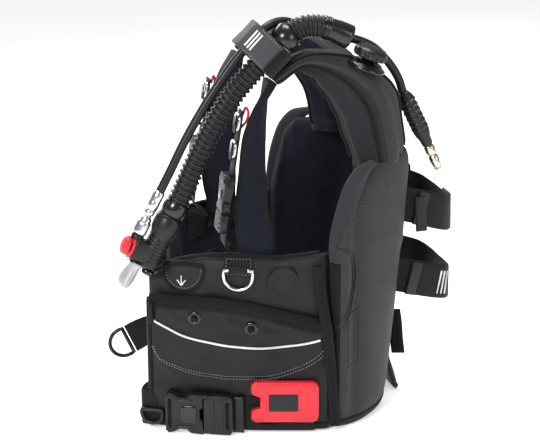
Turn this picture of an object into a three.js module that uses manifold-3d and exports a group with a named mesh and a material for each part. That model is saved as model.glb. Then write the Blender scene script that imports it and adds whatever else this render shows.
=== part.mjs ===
// Jacket-style buoyancy compensator for scuba diving, standing on its level bottom edge.
// Millimetres. +Z is up, the wearer faces -Y, the wearer's left is +X and the tank goes at +Y.
import * as THREE from 'three';
import { mergeVertices } from 'three/addons/utils/BufferGeometryUtils.js';
import Module from 'manifold-3d';

const wasm = await Module();
wasm.setup();

// ---- driving dimensions -------------------------------------------------------------------------
const GAP = 0.3;                 // running or seating gap between neighbouring pieces
const FRONT_SHIFT = 41;          // moves the vest back so that its box is centred on the origin

const HALF_WIDTH = 185;          // centre line to the widest point of the outer wall
const FRONT_REACH = 252;         // origin of the plan to the front edges
const LOBE_HEIGHT = 245;         // top of the front lobes
const LOBE_THICKNESS = 22;       // slack bladder plus lining
const POCKET_THICKNESS = 10.4;   // flat, zipped cargo pocket
const POCKET_HEIGHT = 188;
const PANEL_THICKNESS = 28;      // padded side and back bladder
const CREASE_HEIGHT = 362;       // fold between side panel and shoulder lobe
const BACK_LEAN = 0.11;          // backward lean of the back, mm per mm of height
const LEAN_START = 80;           // height at which the lean is zero

const WEB_WIDTH = 50;            // harness and tank webbing
const WEB_THICKNESS = 2.4;
const NARROW_WEB = 24;           // webbing of the shoulder chains
const BELT_HEIGHT = 28.5;        // centre line of the waist belt
const BUCKLE_LENGTH = 94;
const BUCKLE_WIDTH = 58;
const BUCKLE_THICKNESS = 15;
const SLOT = 3.6;                // webbing slots of the buckles
const HANDLE_LENGTH = 92;        // red weight-pocket handle
const HANDLE_WIDTH = 58;
const HANDLE_THICKNESS = 11;

const HOSE_RADIUS = 16;          // corrugated oral inflation hose
const LP_RADIUS = 6;             // low-pressure hose
const HOSE_X = 110;              // the hoses run down the left shoulder
const SLEEVE_LENGTH = 40;        // hose keeper, along the hose
const SLEEVE_DEPTH = 68;
const SLEEVE_WALL = 3;
const CAP_RADIUS = 24;           // shoulder valve
const FLANGE_RADIUS = 27;
const BUTTON_RADIUS = 12.5;      // inflate button
const BUTTON_TRAVEL = 3;
const DEFLATE_RADIUS = 9;
const STEM_RADIUS = 4.5;
const BODY_RADIUS = 16;          // inflator body

const PLATE_HALF_WIDTH = 79;     // moulded backpack plate
const PLATE_THICKNESS = 7;
const PLATE_BOTTOM = 70;
const PLATE_TOP = 368;
const SADDLE_HALF_WIDTH = 30;    // raised rest for the cylinder on the plate's rear
const SADDLE_RISE = 3;
const SADDLE_BOTTOM = 100;
const PAD_THICKNESS = 15;
const BAND_HALF_WIDTH = 72;      // tank band legs
const BAND_REACH = 205;          // rear of the empty tank bands
const UPPER_BAND = 285;
const LOWER_BAND = 182;
const BAND_DROOP = 30;           // the empty loops hang lower at the rear

const RING_WIRE = 5;             // stainless chest ring
const BELT_RING_WIRE = 6;        // plastic rings of the waist belts
const SWING_GAP = 0.6;           // lets a ring's edges clear what it swings against
const LINK_WIRE = 4;
const GROMMET_RADIUS = 10;

// ---- colours ------------------------------------------------------------------------------------
const finish = {
  nylon: [0x1b1c1f, 0.85, 0],
  ballistic: [0x2b2c30, 0.8, 0],
  lining: [0x15171f, 0.9, 0],
  webbing: [0x141416, 0.75, 0],
  plastic: [0x17181a, 0.45, 0],
  rubber: [0x202124, 0.6, 0],
  red: [0xd8202e, 0.35, 0],
  grey: [0x6b6d70, 0.6, 0],
  pale: [0xc9ccce, 0.4, 0],
  steel: [0xb9bcc0, 0.25, 1],
};

// ---- small tools --------------------------------------------------------------------------------
const vec = (x, y, z) => new THREE.Vector3(x, y, z);
const mix = (a, b, t) => a + (b - a) * t;

// value at t of a chain of [t, value] knots
function along(knots, t) {
  for (let i = 1; i < knots.length; i += 1) {
    const [t0, v0] = knots[i - 1];
    const [t1, v1] = knots[i];
    if (t <= t1) return mix(v0, v1, Math.max(0, (t - t0) / (t1 - t0)));
  }
  return knots[knots.length - 1][1];
}

// closed solid through a row of equal rings of points, with flat ends
function skin(rings) {
  const count = rings[0].length;
  const points = rings.flat();
  const faces = [];
  for (let i = 0; i + 1 < rings.length; i += 1) {
    for (let j = 0; j < count; j += 1) {
      const a = i * count + j;
      const b = i * count + (j + 1) % count;
      faces.push(a, b, b + count, a, b + count, a + count);
    }
  }
  const last = (rings.length - 1) * count;
  for (let j = 1; j + 1 < count; j += 1) {
    faces.push(0, j + 1, j, last, last + j, last + j + 1);
  }
  const geometry = new THREE.BufferGeometry().setFromPoints(points);
  geometry.setIndex(faces);
  return faceOutward(geometry);
}

// turns the faces over when they point inward
function faceOutward(geometry) {
  const p = geometry.attributes.position;
  const index = geometry.index.array;
  const [a, b, c] = [vec(), vec(), vec()];
  let volume = 0;
  for (let i = 0; i < index.length; i += 3) {
    a.fromBufferAttribute(p, index[i]);
    b.fromBufferAttribute(p, index[i + 1]);
    c.fromBufferAttribute(p, index[i + 2]);
    volume += a.dot(b.cross(c));
  }
  if (volume < 0) {
    for (let i = 0; i < index.length; i += 3) {
      [index[i + 1], index[i + 2]] = [index[i + 2], index[i + 1]];
    }
  }
  return geometry;
}

// four-cornered section with its corners cut by a share of each side
function softSection(corners, share = 0.2) {
  const ring = [];
  corners.forEach((corner, i) => {
    const before = corners[(i + 3) % 4];
    const after = corners[(i + 1) % 4];
    ring.push(corner.clone().lerp(before, share), corner.clone().lerp(after, share));
  });
  return ring;
}

// flat strap through stations {at, across, width}: across is the direction of its width
function strap(stations, thickness) {
  const path = stations.map((s) => s.at);
  return skin(stations.map((s, i) => {
    const ahead = path[Math.min(i + 1, path.length - 1)].clone();
    const run = ahead.sub(path[Math.max(i - 1, 0)]).normalize();
    const across = s.across.clone().addScaledVector(run, -s.across.dot(run)).normalize();
    const up = run.clone().cross(across).multiplyScalar(thickness / 2);
    const side = across.multiplyScalar(s.width / 2);
    return [[1, 1], [1, -1], [-1, -1], [-1, 1]].map(([u, v]) => (
      s.at.clone().addScaledVector(side, u).addScaledVector(up, v)));
  }));
}

// round tube of varying radius along points {at, radius}
function tube(stations, sides = 16) {
  const path = stations.map((s) => s.at);
  const start = vec(1, 0, 0);
  return skin(stations.map((s, i) => {
    const ahead = path[Math.min(i + 1, path.length - 1)].clone();
    const run = ahead.sub(path[Math.max(i - 1, 0)]).normalize();
    const u = start.clone().addScaledVector(run, -start.dot(run)).normalize();
    const w = run.clone().cross(u);
    return Array.from({ length: sides }, (_, k) => {
      const angle = (2 * Math.PI * k) / sides;
      return s.at.clone().addScaledVector(u, s.radius * Math.cos(angle))
        .addScaledVector(w, s.radius * Math.sin(angle));
    });
  }));
}

// solid of revolution about Z through [radius, height] points
function turned(profile, sides = 24) {
  const points = profile.map(([r, z]) => new THREE.Vector2(r, z));
  return new THREE.LatheGeometry(points, sides).rotateX(Math.PI / 2);
}

// rectangle with rounded corners, centred on the origin
function roundedShape(width, height, radius, Kind = THREE.Shape) {
  const [x, y] = [width / 2, height / 2];
  const shape = new Kind();
  shape.moveTo(-x + radius, -y);
  shape.lineTo(x - radius, -y);
  shape.absarc(x - radius, -y + radius, radius, -Math.PI / 2, 0);
  shape.lineTo(x, y - radius);
  shape.absarc(x - radius, y - radius, radius, 0, Math.PI / 2);
  shape.lineTo(-x + radius, y);
  shape.absarc(-x + radius, y - radius, radius, Math.PI / 2, Math.PI);
  shape.lineTo(-x, -y + radius);
  shape.absarc(-x + radius, -y + radius, radius, Math.PI, 1.5 * Math.PI);
  return shape;
}

// slab of a shape, with its middle plane at z = 0
function slab(shape, depth, curveSegments = 4) {
  const options = { depth, bevelEnabled: false, curveSegments };
  return new THREE.ExtrudeGeometry(shape, options).translate(0, 0, -depth / 2);
}

// D-shaped wire ring: straight bar on top, half round below, bar centre at the origin
function ringShape(width, height, wire) {
  const bottom = (width + wire) / 2 - height;
  const outline = (half, top, Kind) => {
    const shape = new Kind();
    shape.moveTo(-half, top);
    shape.lineTo(-half, bottom);
    shape.absarc(0, bottom, half, Math.PI, 2 * Math.PI);
    shape.lineTo(half, top);
    shape.closePath();
    return shape;
  };
  const ring = outline(width / 2, wire / 2, THREE.Shape);
  ring.holes.push(outline(width / 2 - wire, -wire / 2, THREE.Path));
  return ring;
}

// D-shaped ring with its edges taken off
function wireRing(width, height, wire, thickness) {
  const edge = wire * 0.18;
  return new THREE.ExtrudeGeometry(ringShape(width, height, wire), {
    depth: thickness - 2 * edge,
    bevelThickness: edge,
    bevelSize: edge,
    bevelOffset: -edge,
    bevelSegments: 1,
    curveSegments: 8,
  }).translate(0, 0, edge - thickness / 2);
}

function solid(geometry) {
  const plain = geometry.clone();
  plain.deleteAttribute('normal');
  plain.deleteAttribute('uv');
  const merged = mergeVertices(plain, 1e-4);
  return new wasm.Manifold(new wasm.Mesh({
    numProp: 3,
    vertProperties: new Float32Array(merged.attributes.position.array),
    triVerts: new Uint32Array(merged.index.array),
  }));
}

function fromSolid(body) {
  const mesh = body.getMesh();
  const geometry = new THREE.BufferGeometry();
  geometry.setAttribute('position', new THREE.BufferAttribute(mesh.vertProperties, 3));
  geometry.setIndex(new THREE.BufferAttribute(mesh.triVerts, 1));
  return geometry;
}

const join = (...parts) => fromSolid(parts.map(solid).reduce((a, b) => a.add(b)));
const cut = (base, ...tools) => fromSolid(tools.map(solid).reduce((a, b) => a.subtract(b), solid(base)));

function piece(parent, name, geometry, look) {
  const [color, roughness, metalness] = finish[look];
  const material = new THREE.MeshStandardMaterial({ color, roughness, metalness });
  const mesh = new THREE.Mesh(geometry, material);
  mesh.name = name;
  parent.add(mesh);
  return mesh;
}

// ---- plan of the walls --------------------------------------------------------------------------
// The outer line of one half, from its front edge round the widest point to the back. The left
// half stands open; the right half curls in at its front edge. Both are drawn on the +X side.
const KNEE = vec(HALF_WIDTH, -10, 0);
const BACK_LINE = [
  vec(HALF_WIDTH - 9, 28, 0), vec(HALF_WIDTH - 34, 62, 0), vec(HALF_WIDTH - 64, 88, 0),
  vec(PLATE_HALF_WIDTH + 17, 99.5, 0), vec(PLATE_HALF_WIDTH + 2.5, 101, 0),
];

function makePlan(frontLine) {
  const line = new THREE.CatmullRomCurve3([...frontLine, KNEE, ...BACK_LINE], false, 'centripetal');
  const length = line.getLength();
  const shares = Array.from({ length: 801 }, (_, i) => i / 800);
  const gapToKnee = (u) => line.getPointAt(u).distanceTo(KNEE);
  const knee = shares.reduce((best, u) => (gapToKnee(u) < gapToKnee(best) ? u : best)) * length;
  const share = (distance) => THREE.MathUtils.clamp(distance / length, 0, 1);
  const run = (distance) => line.getTangentAt(share(distance));

  // point at a distance along the wall, at a height, and an offset outward from the outer line
  function point(distance, height, offset) {
    const way = run(distance);
    const p = line.getPointAt(share(distance));
    p.addScaledVector(way, distance - share(distance) * length);
    const back = Math.max(0, (distance - knee) / (length - knee));
    const lean = BACK_LEAN * (height - LEAN_START) * back * back;
    return vec(p.x + way.y * offset, p.y - way.x * offset + lean, height);
  }

  // group whose x runs along the wall, y up and z outward
  function frame(distance, height, offset) {
    const x = run(distance);
    const group = new THREE.Group();
    group.matrix.makeBasis(x, vec(0, 0, 1), vec(x.y, -x.x, 0));
    group.matrix.decompose(group.position, group.quaternion, group.scale);
    group.position.copy(point(distance, height, offset));
    return group;
  }
  return { length, knee, run, point, frame };
}

const leftPlan = makePlan([
  vec(HALF_WIDTH - 84, -FRONT_REACH, 0), vec(HALF_WIDTH - 57, -FRONT_REACH + 53, 0),
  vec(HALF_WIDTH - 35, -146, 0), vec(HALF_WIDTH - 14, -78, 0),
]);
const rightPlan = makePlan([
  vec(HALF_WIDTH - 119, -FRONT_REACH + 45, 0), vec(HALF_WIDTH - 73, -FRONT_REACH + 64, 0),
  vec(HALF_WIDTH - 37, -142, 0), vec(HALF_WIDTH - 13, -78, 0),
]);

// wall slab between two distances; low, high, outer and inner are functions of the distance
function wallSlab(plan, [from, to, steps], [low, high], [outer, inner], corner = 0.2) {
  return skin(Array.from({ length: steps + 1 }, (_, i) => {
    const s = mix(from, to, i / steps);
    return softSection([
      plan.point(s, low(s), outer(s)), plan.point(s, high(s), outer(s)),
      plan.point(s, high(s), inner(s)), plan.point(s, low(s), inner(s)),
    ], corner);
  }));
}

// strap stations that follow the wall between two distances
function wallStrap(plan, [from, to, steps], height, width, offset) {
  return Array.from({ length: steps + 1 }, (_, i) => (
    { at: plan.point(mix(from, to, i / steps), height, offset), across: vec(0, 0, 1), width }));
}

// places along the wall, as shares of the way from the front edge to the widest point
const RING_SHARE = 0.5;
const HANDLE_SHARE = 0.745;
const BUCKLE_SHARE = 0.3;
const STRAP_SHARE = 0.585;
const ANCHOR_SHARE = 0.36;
const LOBE_OUTER = -POCKET_THICKNESS - GAP;
const LOBE_INNER = LOBE_OUTER - LOBE_THICKNESS;

const lobeTop = (plan) => (s) => LOBE_HEIGHT + along([
  [0, -34], [0.13, -9], [0.3, 0], [0.5, 2], [0.7, -3], [1, 8],
], s / plan.knee);
const pocketTop = (plan) => (s) => POCKET_HEIGHT + along([[0, 0], [0.5, -1], [1, -33]], s / plan.knee);
const panelTop = (plan) => (s) => along([
  [plan.knee, LOBE_HEIGHT + 10], [plan.knee + 13, 300], [plan.knee + 26, 340],
  [plan.knee + 44, CREASE_HEIGHT - 2], [plan.length, CREASE_HEIGHT + 10],
], s);

// ---- shoulder lobe and shoulder strap -----------------------------------------------------------
// corners: outer front, inner front, inner back, outer back, from the crease up and over the shoulder
const shoulderCorners = [
  [[148, 64, CREASE_HEIGHT + 2], [100, 30, CREASE_HEIGHT + 2], [45, 95, CREASE_HEIGHT + 13],
    [94, 124, CREASE_HEIGHT + 12]],
  [[137, 59, 400], [84, 22, 398], [42, 88, 410], [92, 120, 412]],
  [[128, 50, 436], [77, 10, 430], [42, 78, 448], [91, 111, 448]],
  [[122, 28, 466], [78, -8, 458], [46, 54, 482], [94, 84, 480]],
  [[121, -2, 486], [78, -18, 478], [60, 22, 505], [104, 42, 503]],
  [[120, -34, 496], [78, -36, 492], [74, -30, 508], [118, -26, 512]],
  [[118, -68, 474], [78, -68, 474], [78, -77.6, 484.4], [118, -77.6, 484.4]],
];

function shoulderLobe() {
  const lines = [0, 1, 2, 3].map((k) => new THREE.CatmullRomCurve3(
    shoulderCorners.map((row) => vec(...row[k])), false, 'centripetal'));
  const steps = 14;
  return skin(Array.from({ length: steps + 1 }, (_, i) => (
    softSection(lines.map((line) => line.getPoint(i / steps)), 0.24))));
}

// pad from the end of the shoulder lobe down to the inside of the front lobe, turning as it goes
function shoulderStrap(plan) {
  const thickness = 11;
  const seat = LOBE_INNER - GAP - thickness / 2;
  const rows = [
    [98, -74.5, 476.8, 0, 40], [98, -88, 440, -28, 44], [98, -97, 400, -50, 44],
    [101, -101, 350, -62, 44], [107, -103, 300, -78, 46],
  ];
  const stations = rows.map(([x, y, z, angle, width]) => {
    const turn = THREE.MathUtils.degToRad(angle);
    return { at: vec(x, y, z), across: vec(Math.cos(turn), Math.sin(turn), 0), width };
  });
  const place = STRAP_SHARE * plan.knee;
  [262, 212].forEach((height) => {
    const at = plan.point(place, height, seat - 0.4);
    stations.push({ at, across: plan.run(place).negate(), width: 46 });
  });
  stations[0].at.add(vec(0, -0.13, -0.3));
  return strap(stations, thickness);
}

// ---- pieces that are the same on both sides -----------------------------------------------------
// chain of webbing, links and side-release buckle in front of the shoulder strap
const CHAIN_X = 105;
const CHAIN_TOP = vec(CHAIN_X, -116, 440);
const CHAIN_END = vec(CHAIN_X, -129.75, 352.2);
const CHAIN_BUCKLE = vec(CHAIN_X, -139, 328);
const CHAIN_TILT = 0.155;

function shoulderChain(parent, side) {
  const webbing = [CHAIN_TOP, CHAIN_END].map((at) => ({ at, across: vec(1, 0, 0), width: NARROW_WEB }));
  piece(parent, `${side}_chain_webbing`, strap(webbing, WEB_THICKNESS), 'webbing');
  const linkSeat = (WEB_THICKNESS + LINK_WIRE) / 2 + GAP;
  [['upper', 0.18], ['lower', 0.6]].forEach(([level, share]) => {
    const shape = roundedShape(28, 24, 5);
    shape.holes.push(roundedShape(28 - 2 * LINK_WIRE, 24 - 2 * LINK_WIRE, 3, THREE.Path));
    const link = piece(parent, `${side}_${level}_link`, slab(shape, LINK_WIRE), 'steel');
    link.rotation.x = Math.PI / 2 - CHAIN_TILT;
    link.position.copy(CHAIN_TOP).lerp(CHAIN_END, share);
    link.position.add(vec(0, -linkSeat * Math.cos(CHAIN_TILT), linkSeat * Math.sin(CHAIN_TILT)));
  });
  // elastic lacing from the strap edge to the webbing
  const lacing = new THREE.CatmullRomCurve3([
    vec(CHAIN_X - 3, -113.6, 433), vec(CHAIN_X - 1, -109.2, 443), vec(CHAIN_X + 2, -106.8, 437),
    vec(CHAIN_X + 1, -109.2, 425), vec(CHAIN_X - 2, -116.3, 416),
  ]);
  const bungee = lacing.getPoints(12).map((at) => ({ at, radius: 1.8 }));
  piece(parent, `${side}_bungee`, tube(bungee, 8), 'red');

  const buckle = new THREE.Group();
  buckle.position.copy(CHAIN_BUCKLE);
  buckle.rotation.x = Math.PI - CHAIN_TILT;
  parent.add(buckle);
  const height = 12;
  const length = 50;
  const slot = slab(roundedShape(27, SLOT, 1.5), 40).rotateX(Math.PI / 2);
  const pocket = new THREE.BoxGeometry(30, height - 5, 24).translate(0, 0, length / 2 - 9);
  const shell = slab(roundedShape(38, length, 6), height).rotateX(Math.PI / 2);
  piece(buckle, `${side}_shoulder_buckle_socket`,
    cut(shell, pocket, slot.clone().translate(0, 0, -length / 2 + 5)), 'plastic');
  const plugBody = slab(roundedShape(36, 26, 5), 10).rotateX(Math.PI / 2)
    .translate(0, 0, length / 2 + 14);
  const prongs = new THREE.BoxGeometry(29, height - 6, 21).translate(0, 0, length / 2 - 8);
  const neck = new THREE.BoxGeometry(20, height - 6, 8).translate(0, 0, length / 2 + 2);
  piece(buckle, `${side}_shoulder_buckle_plug`,
    cut(join(plugBody, prongs, neck), slot.clone().translate(0, 0, length / 2 + 20)), 'plastic');
}

// webbing from behind the shoulder buckle to the inside of the front lobe
function anchorStrap(plan) {
  const seat = LOBE_INNER - WEB_THICKNESS / 2 - 2.4;
  const place = ANCHOR_SHARE * plan.knee;
  const across = plan.run(place).negate();
  return strap([
    { at: vec(CHAIN_X, -136.6, 301.3), across: vec(1, 0, 0), width: 30 },
    { at: vec(CHAIN_X, -143.6, 256.6), across: vec(1, 0, 0), width: 30 },
    { at: vec(CHAIN_X - 7, -134.5, 246.5), across: vec(1, -0.4, 0), width: 31 },
    { at: plan.point(place, 230, seat - 5.4), across, width: 35 },
    { at: plan.point(place, 200, seat - 0.6), across, width: 35 },
  ], WEB_THICKNESS);
}

function grommet() {
  return turned([[3.5, 0], [GROMMET_RADIUS, 0], [GROMMET_RADIUS, 1], [7, 2.4], [4.5, 2.4],
    [3.5, 1], [3.5, 0]], 20);
}

function halfVest(side, plan) {
  const half = new THREE.Group();
  const { knee, length } = plan;
  const flat = (value) => () => value;
  piece(half, `${side}_front_lobe`, wallSlab(plan, [0, knee - GAP / 2, 12],
    [flat(0), lobeTop(plan)], [flat(LOBE_OUTER), flat(LOBE_INNER)]), 'nylon');
  piece(half, `${side}_cargo_pocket`, wallSlab(plan, [1, knee - 3, 12],
    [flat(3), pocketTop(plan)], [flat(0), flat(-POCKET_THICKNESS)], 0.08), 'nylon');
  const outer = (s) => along([[knee, LOBE_OUTER], [knee + 18, 0], [length, 0]], s);
  const inner = (s) => along([
    [knee, LOBE_INNER], [knee + 30, -PANEL_THICKNESS], [length, -PANEL_THICKNESS],
  ], s);
  piece(half, `${side}_side_panel`, wallSlab(plan, [knee + GAP / 2, length, 12],
    [flat(0), panelTop(plan)], [outer, inner], 0.16), 'ballistic');
  const lobe = shoulderLobe();
  piece(half, `${side}_shoulder_lobe`, side === 'left' ? cut(lobe, valveSeat()) : lobe, 'ballistic');
  piece(half, `${side}_shoulder_strap`, shoulderStrap(plan), 'lining');
  piece(half, `${side}_anchor_strap`, anchorStrap(plan), 'webbing');
  shoulderChain(half, side);

  // stainless ring hanging on the upper face of the front lobe
  const ringFrame = plan.frame(RING_SHARE * knee, LOBE_HEIGHT - 15, LOBE_OUTER + RING_WIRE / 2 + SWING_GAP);
  half.add(ringFrame);
  piece(ringFrame, `${side}_chest_ring`, wireRing(44, 32, RING_WIRE, RING_WIRE), 'steel');

  // weight-pocket handle with a forked front end, over the belt on the left
  const behind = side === 'left' ? WEB_THICKNESS + GAP : 0;
  const handle = plan.frame(HANDLE_SHARE * knee, HANDLE_WIDTH / 2 + 20, HANDLE_THICKNESS / 2 + behind + GAP);
  half.add(handle);
  const notch = slab(roundedShape(22, 20, 3), 40).translate(-HANDLE_LENGTH / 2, 0, 0);
  piece(handle, `${side}_weight_handle`,
    cut(slab(roundedShape(HANDLE_LENGTH, HANDLE_WIDTH, 6), HANDLE_THICKNESS), notch), 'red');
  return half;
}

// ---- shoulder valve and inflator ----------------------------------------------------------------
const VALVE = vec(108, 55, 489);
const VALVE_AXIS = vec(0.1, 0.33, 0.94).normalize();
const FLANGE_HEIGHT = 8;
const CAP_BASE = 17;
const CAP_HEIGHT = 15;

function valveFrame() {
  const frame = new THREE.Group();
  frame.position.copy(VALVE);
  frame.quaternion.setFromUnitVectors(vec(0, 0, 1), VALVE_AXIS);
  frame.updateMatrix();
  return frame;
}

// room in the shoulder lobe for the flange
function valveSeat() {
  const room = turned([[0, -1], [FLANGE_RADIUS + GAP, -1], [FLANGE_RADIUS + GAP, 60], [0, 60]], 24);
  return room.applyMatrix4(valveFrame().matrix);
}

// centre line of the oral inflation hose and the elbow, in the plane x = HOSE_X
const airway = [
  [-213.75, 303.9], [-201, 328], [-182, 369], [-157, 418], [-123, 469], [-80.2, 513.3], [-64, 528],
].map(([y, z]) => vec(HOSE_X, y, z));
const elbowLine = [
  [-63.6, 528.4, 20], [-49, 541.5, 20], [-48.4, 542, 15.5], [-30, 549, 15.5], [-10, 548.5, 14.5],
  [12, 541.5, 15], [31, 532.2, 16.5],
].map(([y, z, radius]) => ({ at: vec(HOSE_X, y, z), radius }));

// the keeper's direction along the hose
const SLEEVE_ROOM = 2 * HOSE_RADIUS + 3.3;
const SLEEVE_CENTRE = vec(HOSE_X + HOSE_RADIUS + GAP - SLEEVE_ROOM / 2, -88.5, 522);
const SLEEVE_RUN = vec(0, 0.723, 0.69).normalize();

function hoseSleeve() {
  const shape = roundedShape(SLEEVE_ROOM + 2 * SLEEVE_WALL, SLEEVE_DEPTH, 9);
  const inside = roundedShape(SLEEVE_ROOM, SLEEVE_DEPTH - 2 * SLEEVE_WALL, 6, THREE.Path);
  shape.holes.push(inside);
  return slab(shape, SLEEVE_LENGTH, 5);
}

function inflator(parent) {
  // x to the wearer's left, y back, z up along the hose
  const frame = new THREE.Group();
  frame.position.set(HOSE_X, -236, 262);
  frame.rotation.x = -0.4887;
  parent.add(frame);
  const blockLow = -28;
  const blockHigh = 2;
  const blockFront = -30;
  const buttonAt = -14;
  const inletAt = -29;
  const barrel = turned([[0, -30], [BODY_RADIUS - 1, -30], [BODY_RADIUS, -27], [BODY_RADIUS, 18],
    [19, 24], [19, 40], [17, 47], [0, 47]]);
  const block = new THREE.BoxGeometry(28, 30, blockHigh - blockLow)
    .translate(0, blockFront + 15, (blockHigh + blockLow) / 2);
  const inletBoss = turned([[0, 0], [8, 0], [8, 7], [0, 7]], 16).translate(0, inletAt, -1);
  const buttonHole = new THREE.CylinderGeometry(STEM_RADIUS + GAP, STEM_RADIUS + GAP, 24, 16)
    .translate(0, blockFront, buttonAt);
  const deflateHole = new THREE.CylinderGeometry(STEM_RADIUS + GAP, STEM_RADIUS + GAP, 24, 16)
    .rotateX(Math.PI / 2).translate(0, 6, -30);
  piece(frame, 'inflator_body', cut(join(barrel, block, inletBoss), buttonHole, deflateHole), 'plastic');

  // inflate button: round cap on a stem that slides in the block
  const cap = turned([[0, 0], [STEM_RADIUS, 0], [STEM_RADIUS, 9 + BUTTON_TRAVEL],
    [BUTTON_RADIUS, 9 + BUTTON_TRAVEL], [BUTTON_RADIUS, 19], [10, 22], [0, 22]], 20).rotateX(Math.PI / 2);
  piece(frame, 'inflate_button', cap.translate(0, blockFront + 8.4, buttonAt), 'red');
  const key = turned([[0, 0], [STEM_RADIUS, 0], [STEM_RADIUS, -9], [DEFLATE_RADIUS, -9],
    [DEFLATE_RADIUS, -16], [0, -16]], 20);
  piece(frame, 'deflate_button', faceOutward(mergePlain(key)).translate(0, 6, -24.5), 'plastic');

  // oval mouthpiece below the body
  const lips = [
    [-30.4, -9, 13, 9], [-40, -11, 14, 9], [-52, -12.5, 16, 9.5], [-62, -14, 18, 8], [-66, -14, 17, 6],
  ];
  const mouth = lips.map(([z, y, a, b]) => Array.from({ length: 16 }, (_, k) => {
    const angle = (2 * Math.PI * k) / 16;
    return vec(a * Math.cos(angle), y + b * Math.sin(angle) - 4, z);
  }));
  const mouthBore = new THREE.CylinderGeometry(4.2, 4.2, 50, 16).rotateX(Math.PI / 2).scale(2.2, 1, 1)
    .translate(0, -17.5, -60);
  piece(frame, 'mouthpiece', cut(skin(mouth), mouthBore), 'pale');

  // quick-disconnect: nipple collar and the sleeve that slides on it
  const inlet = turned([[0, 0], [5, 0], [5, 30], [7, 31], [7, 36], [0, 36]], 16);
  piece(frame, 'inlet_nipple', inlet.translate(0, inletAt, 6 + GAP), 'steel');
  const collar = turned([[5.3, 0], [9, 0], [9, 18], [7.5, 20], [7.5, 24], [5.3, 24], [5.3, 0]], 20);
  piece(frame, 'disconnect_collar', collar.translate(0, inletAt, 7), 'steel');
  return frame;
}

function mergePlain(geometry) {
  const plain = geometry.clone();
  plain.deleteAttribute('normal');
  plain.deleteAttribute('uv');
  return mergeVertices(plain, 1e-4);
}

// ---- low-pressure hose --------------------------------------------------------------------------
// route from the quick-disconnect over the shoulder to the tail behind the valve
const lpRoute = [
  [110, -241.6, 313], [110, -232, 331], [110, -215, 363], [108, -190, 410], [105, -152, 469],
  [102, -114.1, 516.9], [99, -82.3, 547.3], [84, -54, 553], [77, -26, 544], [74, 6, 533],
  [70, 42, 524], [66, 76, 510], [62, 102, 485], [60.5, 117, 462], [60, 124.2, 441.8],
].map((at) => vec(...at));
const BOOT = [vec(60, 124.6, 440.9), vec(60, 163, 363)];
const FITTING = [vec(60, 163.15, 362.7), vec(60, 179, 328)];

function lpHose() {
  const curve = new THREE.CatmullRomCurve3(lpRoute, false, 'centripetal');
  const section = new THREE.Shape();
  section.absarc(0, 0, LP_RADIUS, 0, 2 * Math.PI);
  return new THREE.ExtrudeGeometry(section, { steps: 40, curveSegments: 5, extrudePath: curve });
}

function straight([from, to], profile) {
  return tube(profile.map(([share, radius]) => ({ at: from.clone().lerp(to, share), radius })), 16);
}

// ---- tank bands ---------------------------------------------------------------------------------
const plateRear = (height) => 88 + BACK_LEAN * (height - LEAN_START);

function tankBand(height) {
  const base = plateRear(height + WEB_WIDTH / 2) + GAP + 0.6;
  const loop = new THREE.CatmullRomCurve3([
    vec(-BAND_HALF_WIDTH, base, height), vec(-BAND_HALF_WIDTH + 1, base + 35, height - BAND_DROOP * 0.3),
    vec(-BAND_HALF_WIDTH + 14, BAND_REACH - 12, height - BAND_DROOP * 0.8),
    vec(0, BAND_REACH, height - BAND_DROOP),
    vec(BAND_HALF_WIDTH - 14, BAND_REACH - 12, height - BAND_DROOP * 0.8),
    vec(BAND_HALF_WIDTH - 1, base + 35, height - BAND_DROOP * 0.3), vec(BAND_HALF_WIDTH, base, height),
  ], false, 'centripetal');
  return loop.getPoints(24).map((at) => ({ at, across: vec(0, 0, 1), width: WEB_WIDTH }));
}

// cam buckle on the right leg of a band, with a lever that lies on it
function camBuckle(parent, level, height) {
  const frame = new THREE.Group();
  const base = plateRear(height + WEB_WIDTH / 2) + GAP + 0.6;
  frame.position.set(-BAND_HALF_WIDTH - WEB_THICKNESS / 2 - 0.6, base + 40, height - BAND_DROOP * 0.4);
  parent.add(frame);
  // x outward is negative; y along the band
  const floor = new THREE.BoxGeometry(4, 58, 56).translate(-2, 0, 0);
  const ears = [-1, 1].map((end) => new THREE.BoxGeometry(14, 20, 3).translate(-9, -16, end * 26.5));
  piece(frame, `${level}_band_buckle`, join(floor, ...ears), 'plastic');
  const lever = new THREE.BoxGeometry(4.5, 44, 46).translate(-8.5, 4, 0);
  const barrel = new THREE.CylinderGeometry(4.2, 4.2, 49.2, 16).rotateX(Math.PI / 2).translate(-8.8, -16, 0);
  piece(frame, `${level}_cam_lever`, join(lever, barrel), 'plastic');
}

// ---- assembly -----------------------------------------------------------------------------------
const vest = new THREE.Group();
vest.position.y = FRONT_SHIFT;

const left = halfVest('left', leftPlan);
const right = halfVest('right', rightPlan);
right.scale.x = -1;
vest.add(left, right);

// moulded plate, pad and lower flap of the back; the plate leans back
function leaning(halfWidth, low, high, front, rear) {
  const corners = (height) => [
    vec(-halfWidth, front(height), height), vec(halfWidth, front(height), height),
    vec(halfWidth, rear(height), height), vec(-halfWidth, rear(height), height),
  ];
  return skin([corners(low), corners(high)]);
}
const plateFront = (height) => plateRear(height) - PLATE_THICKNESS;
const plate = leaning(PLATE_HALF_WIDTH, PLATE_BOTTOM, PLATE_TOP, plateFront, plateRear);
const saddle = leaning(SADDLE_HALF_WIDTH, SADDLE_BOTTOM, PLATE_TOP - 8,
  (h) => plateRear(h) - 1, (h) => plateRear(h) + SADDLE_RISE);
piece(vest, 'backpack_plate', join(plate, saddle), 'plastic');
piece(vest, 'back_pad', leaning(PLATE_HALF_WIDTH - 4, PLATE_BOTTOM + 10, PLATE_TOP - 4,
  (h) => plateFront(h) - GAP - PAD_THICKNESS, (h) => plateFront(h) - GAP), 'lining');
const flapTop = PLATE_BOTTOM + 26;
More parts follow.
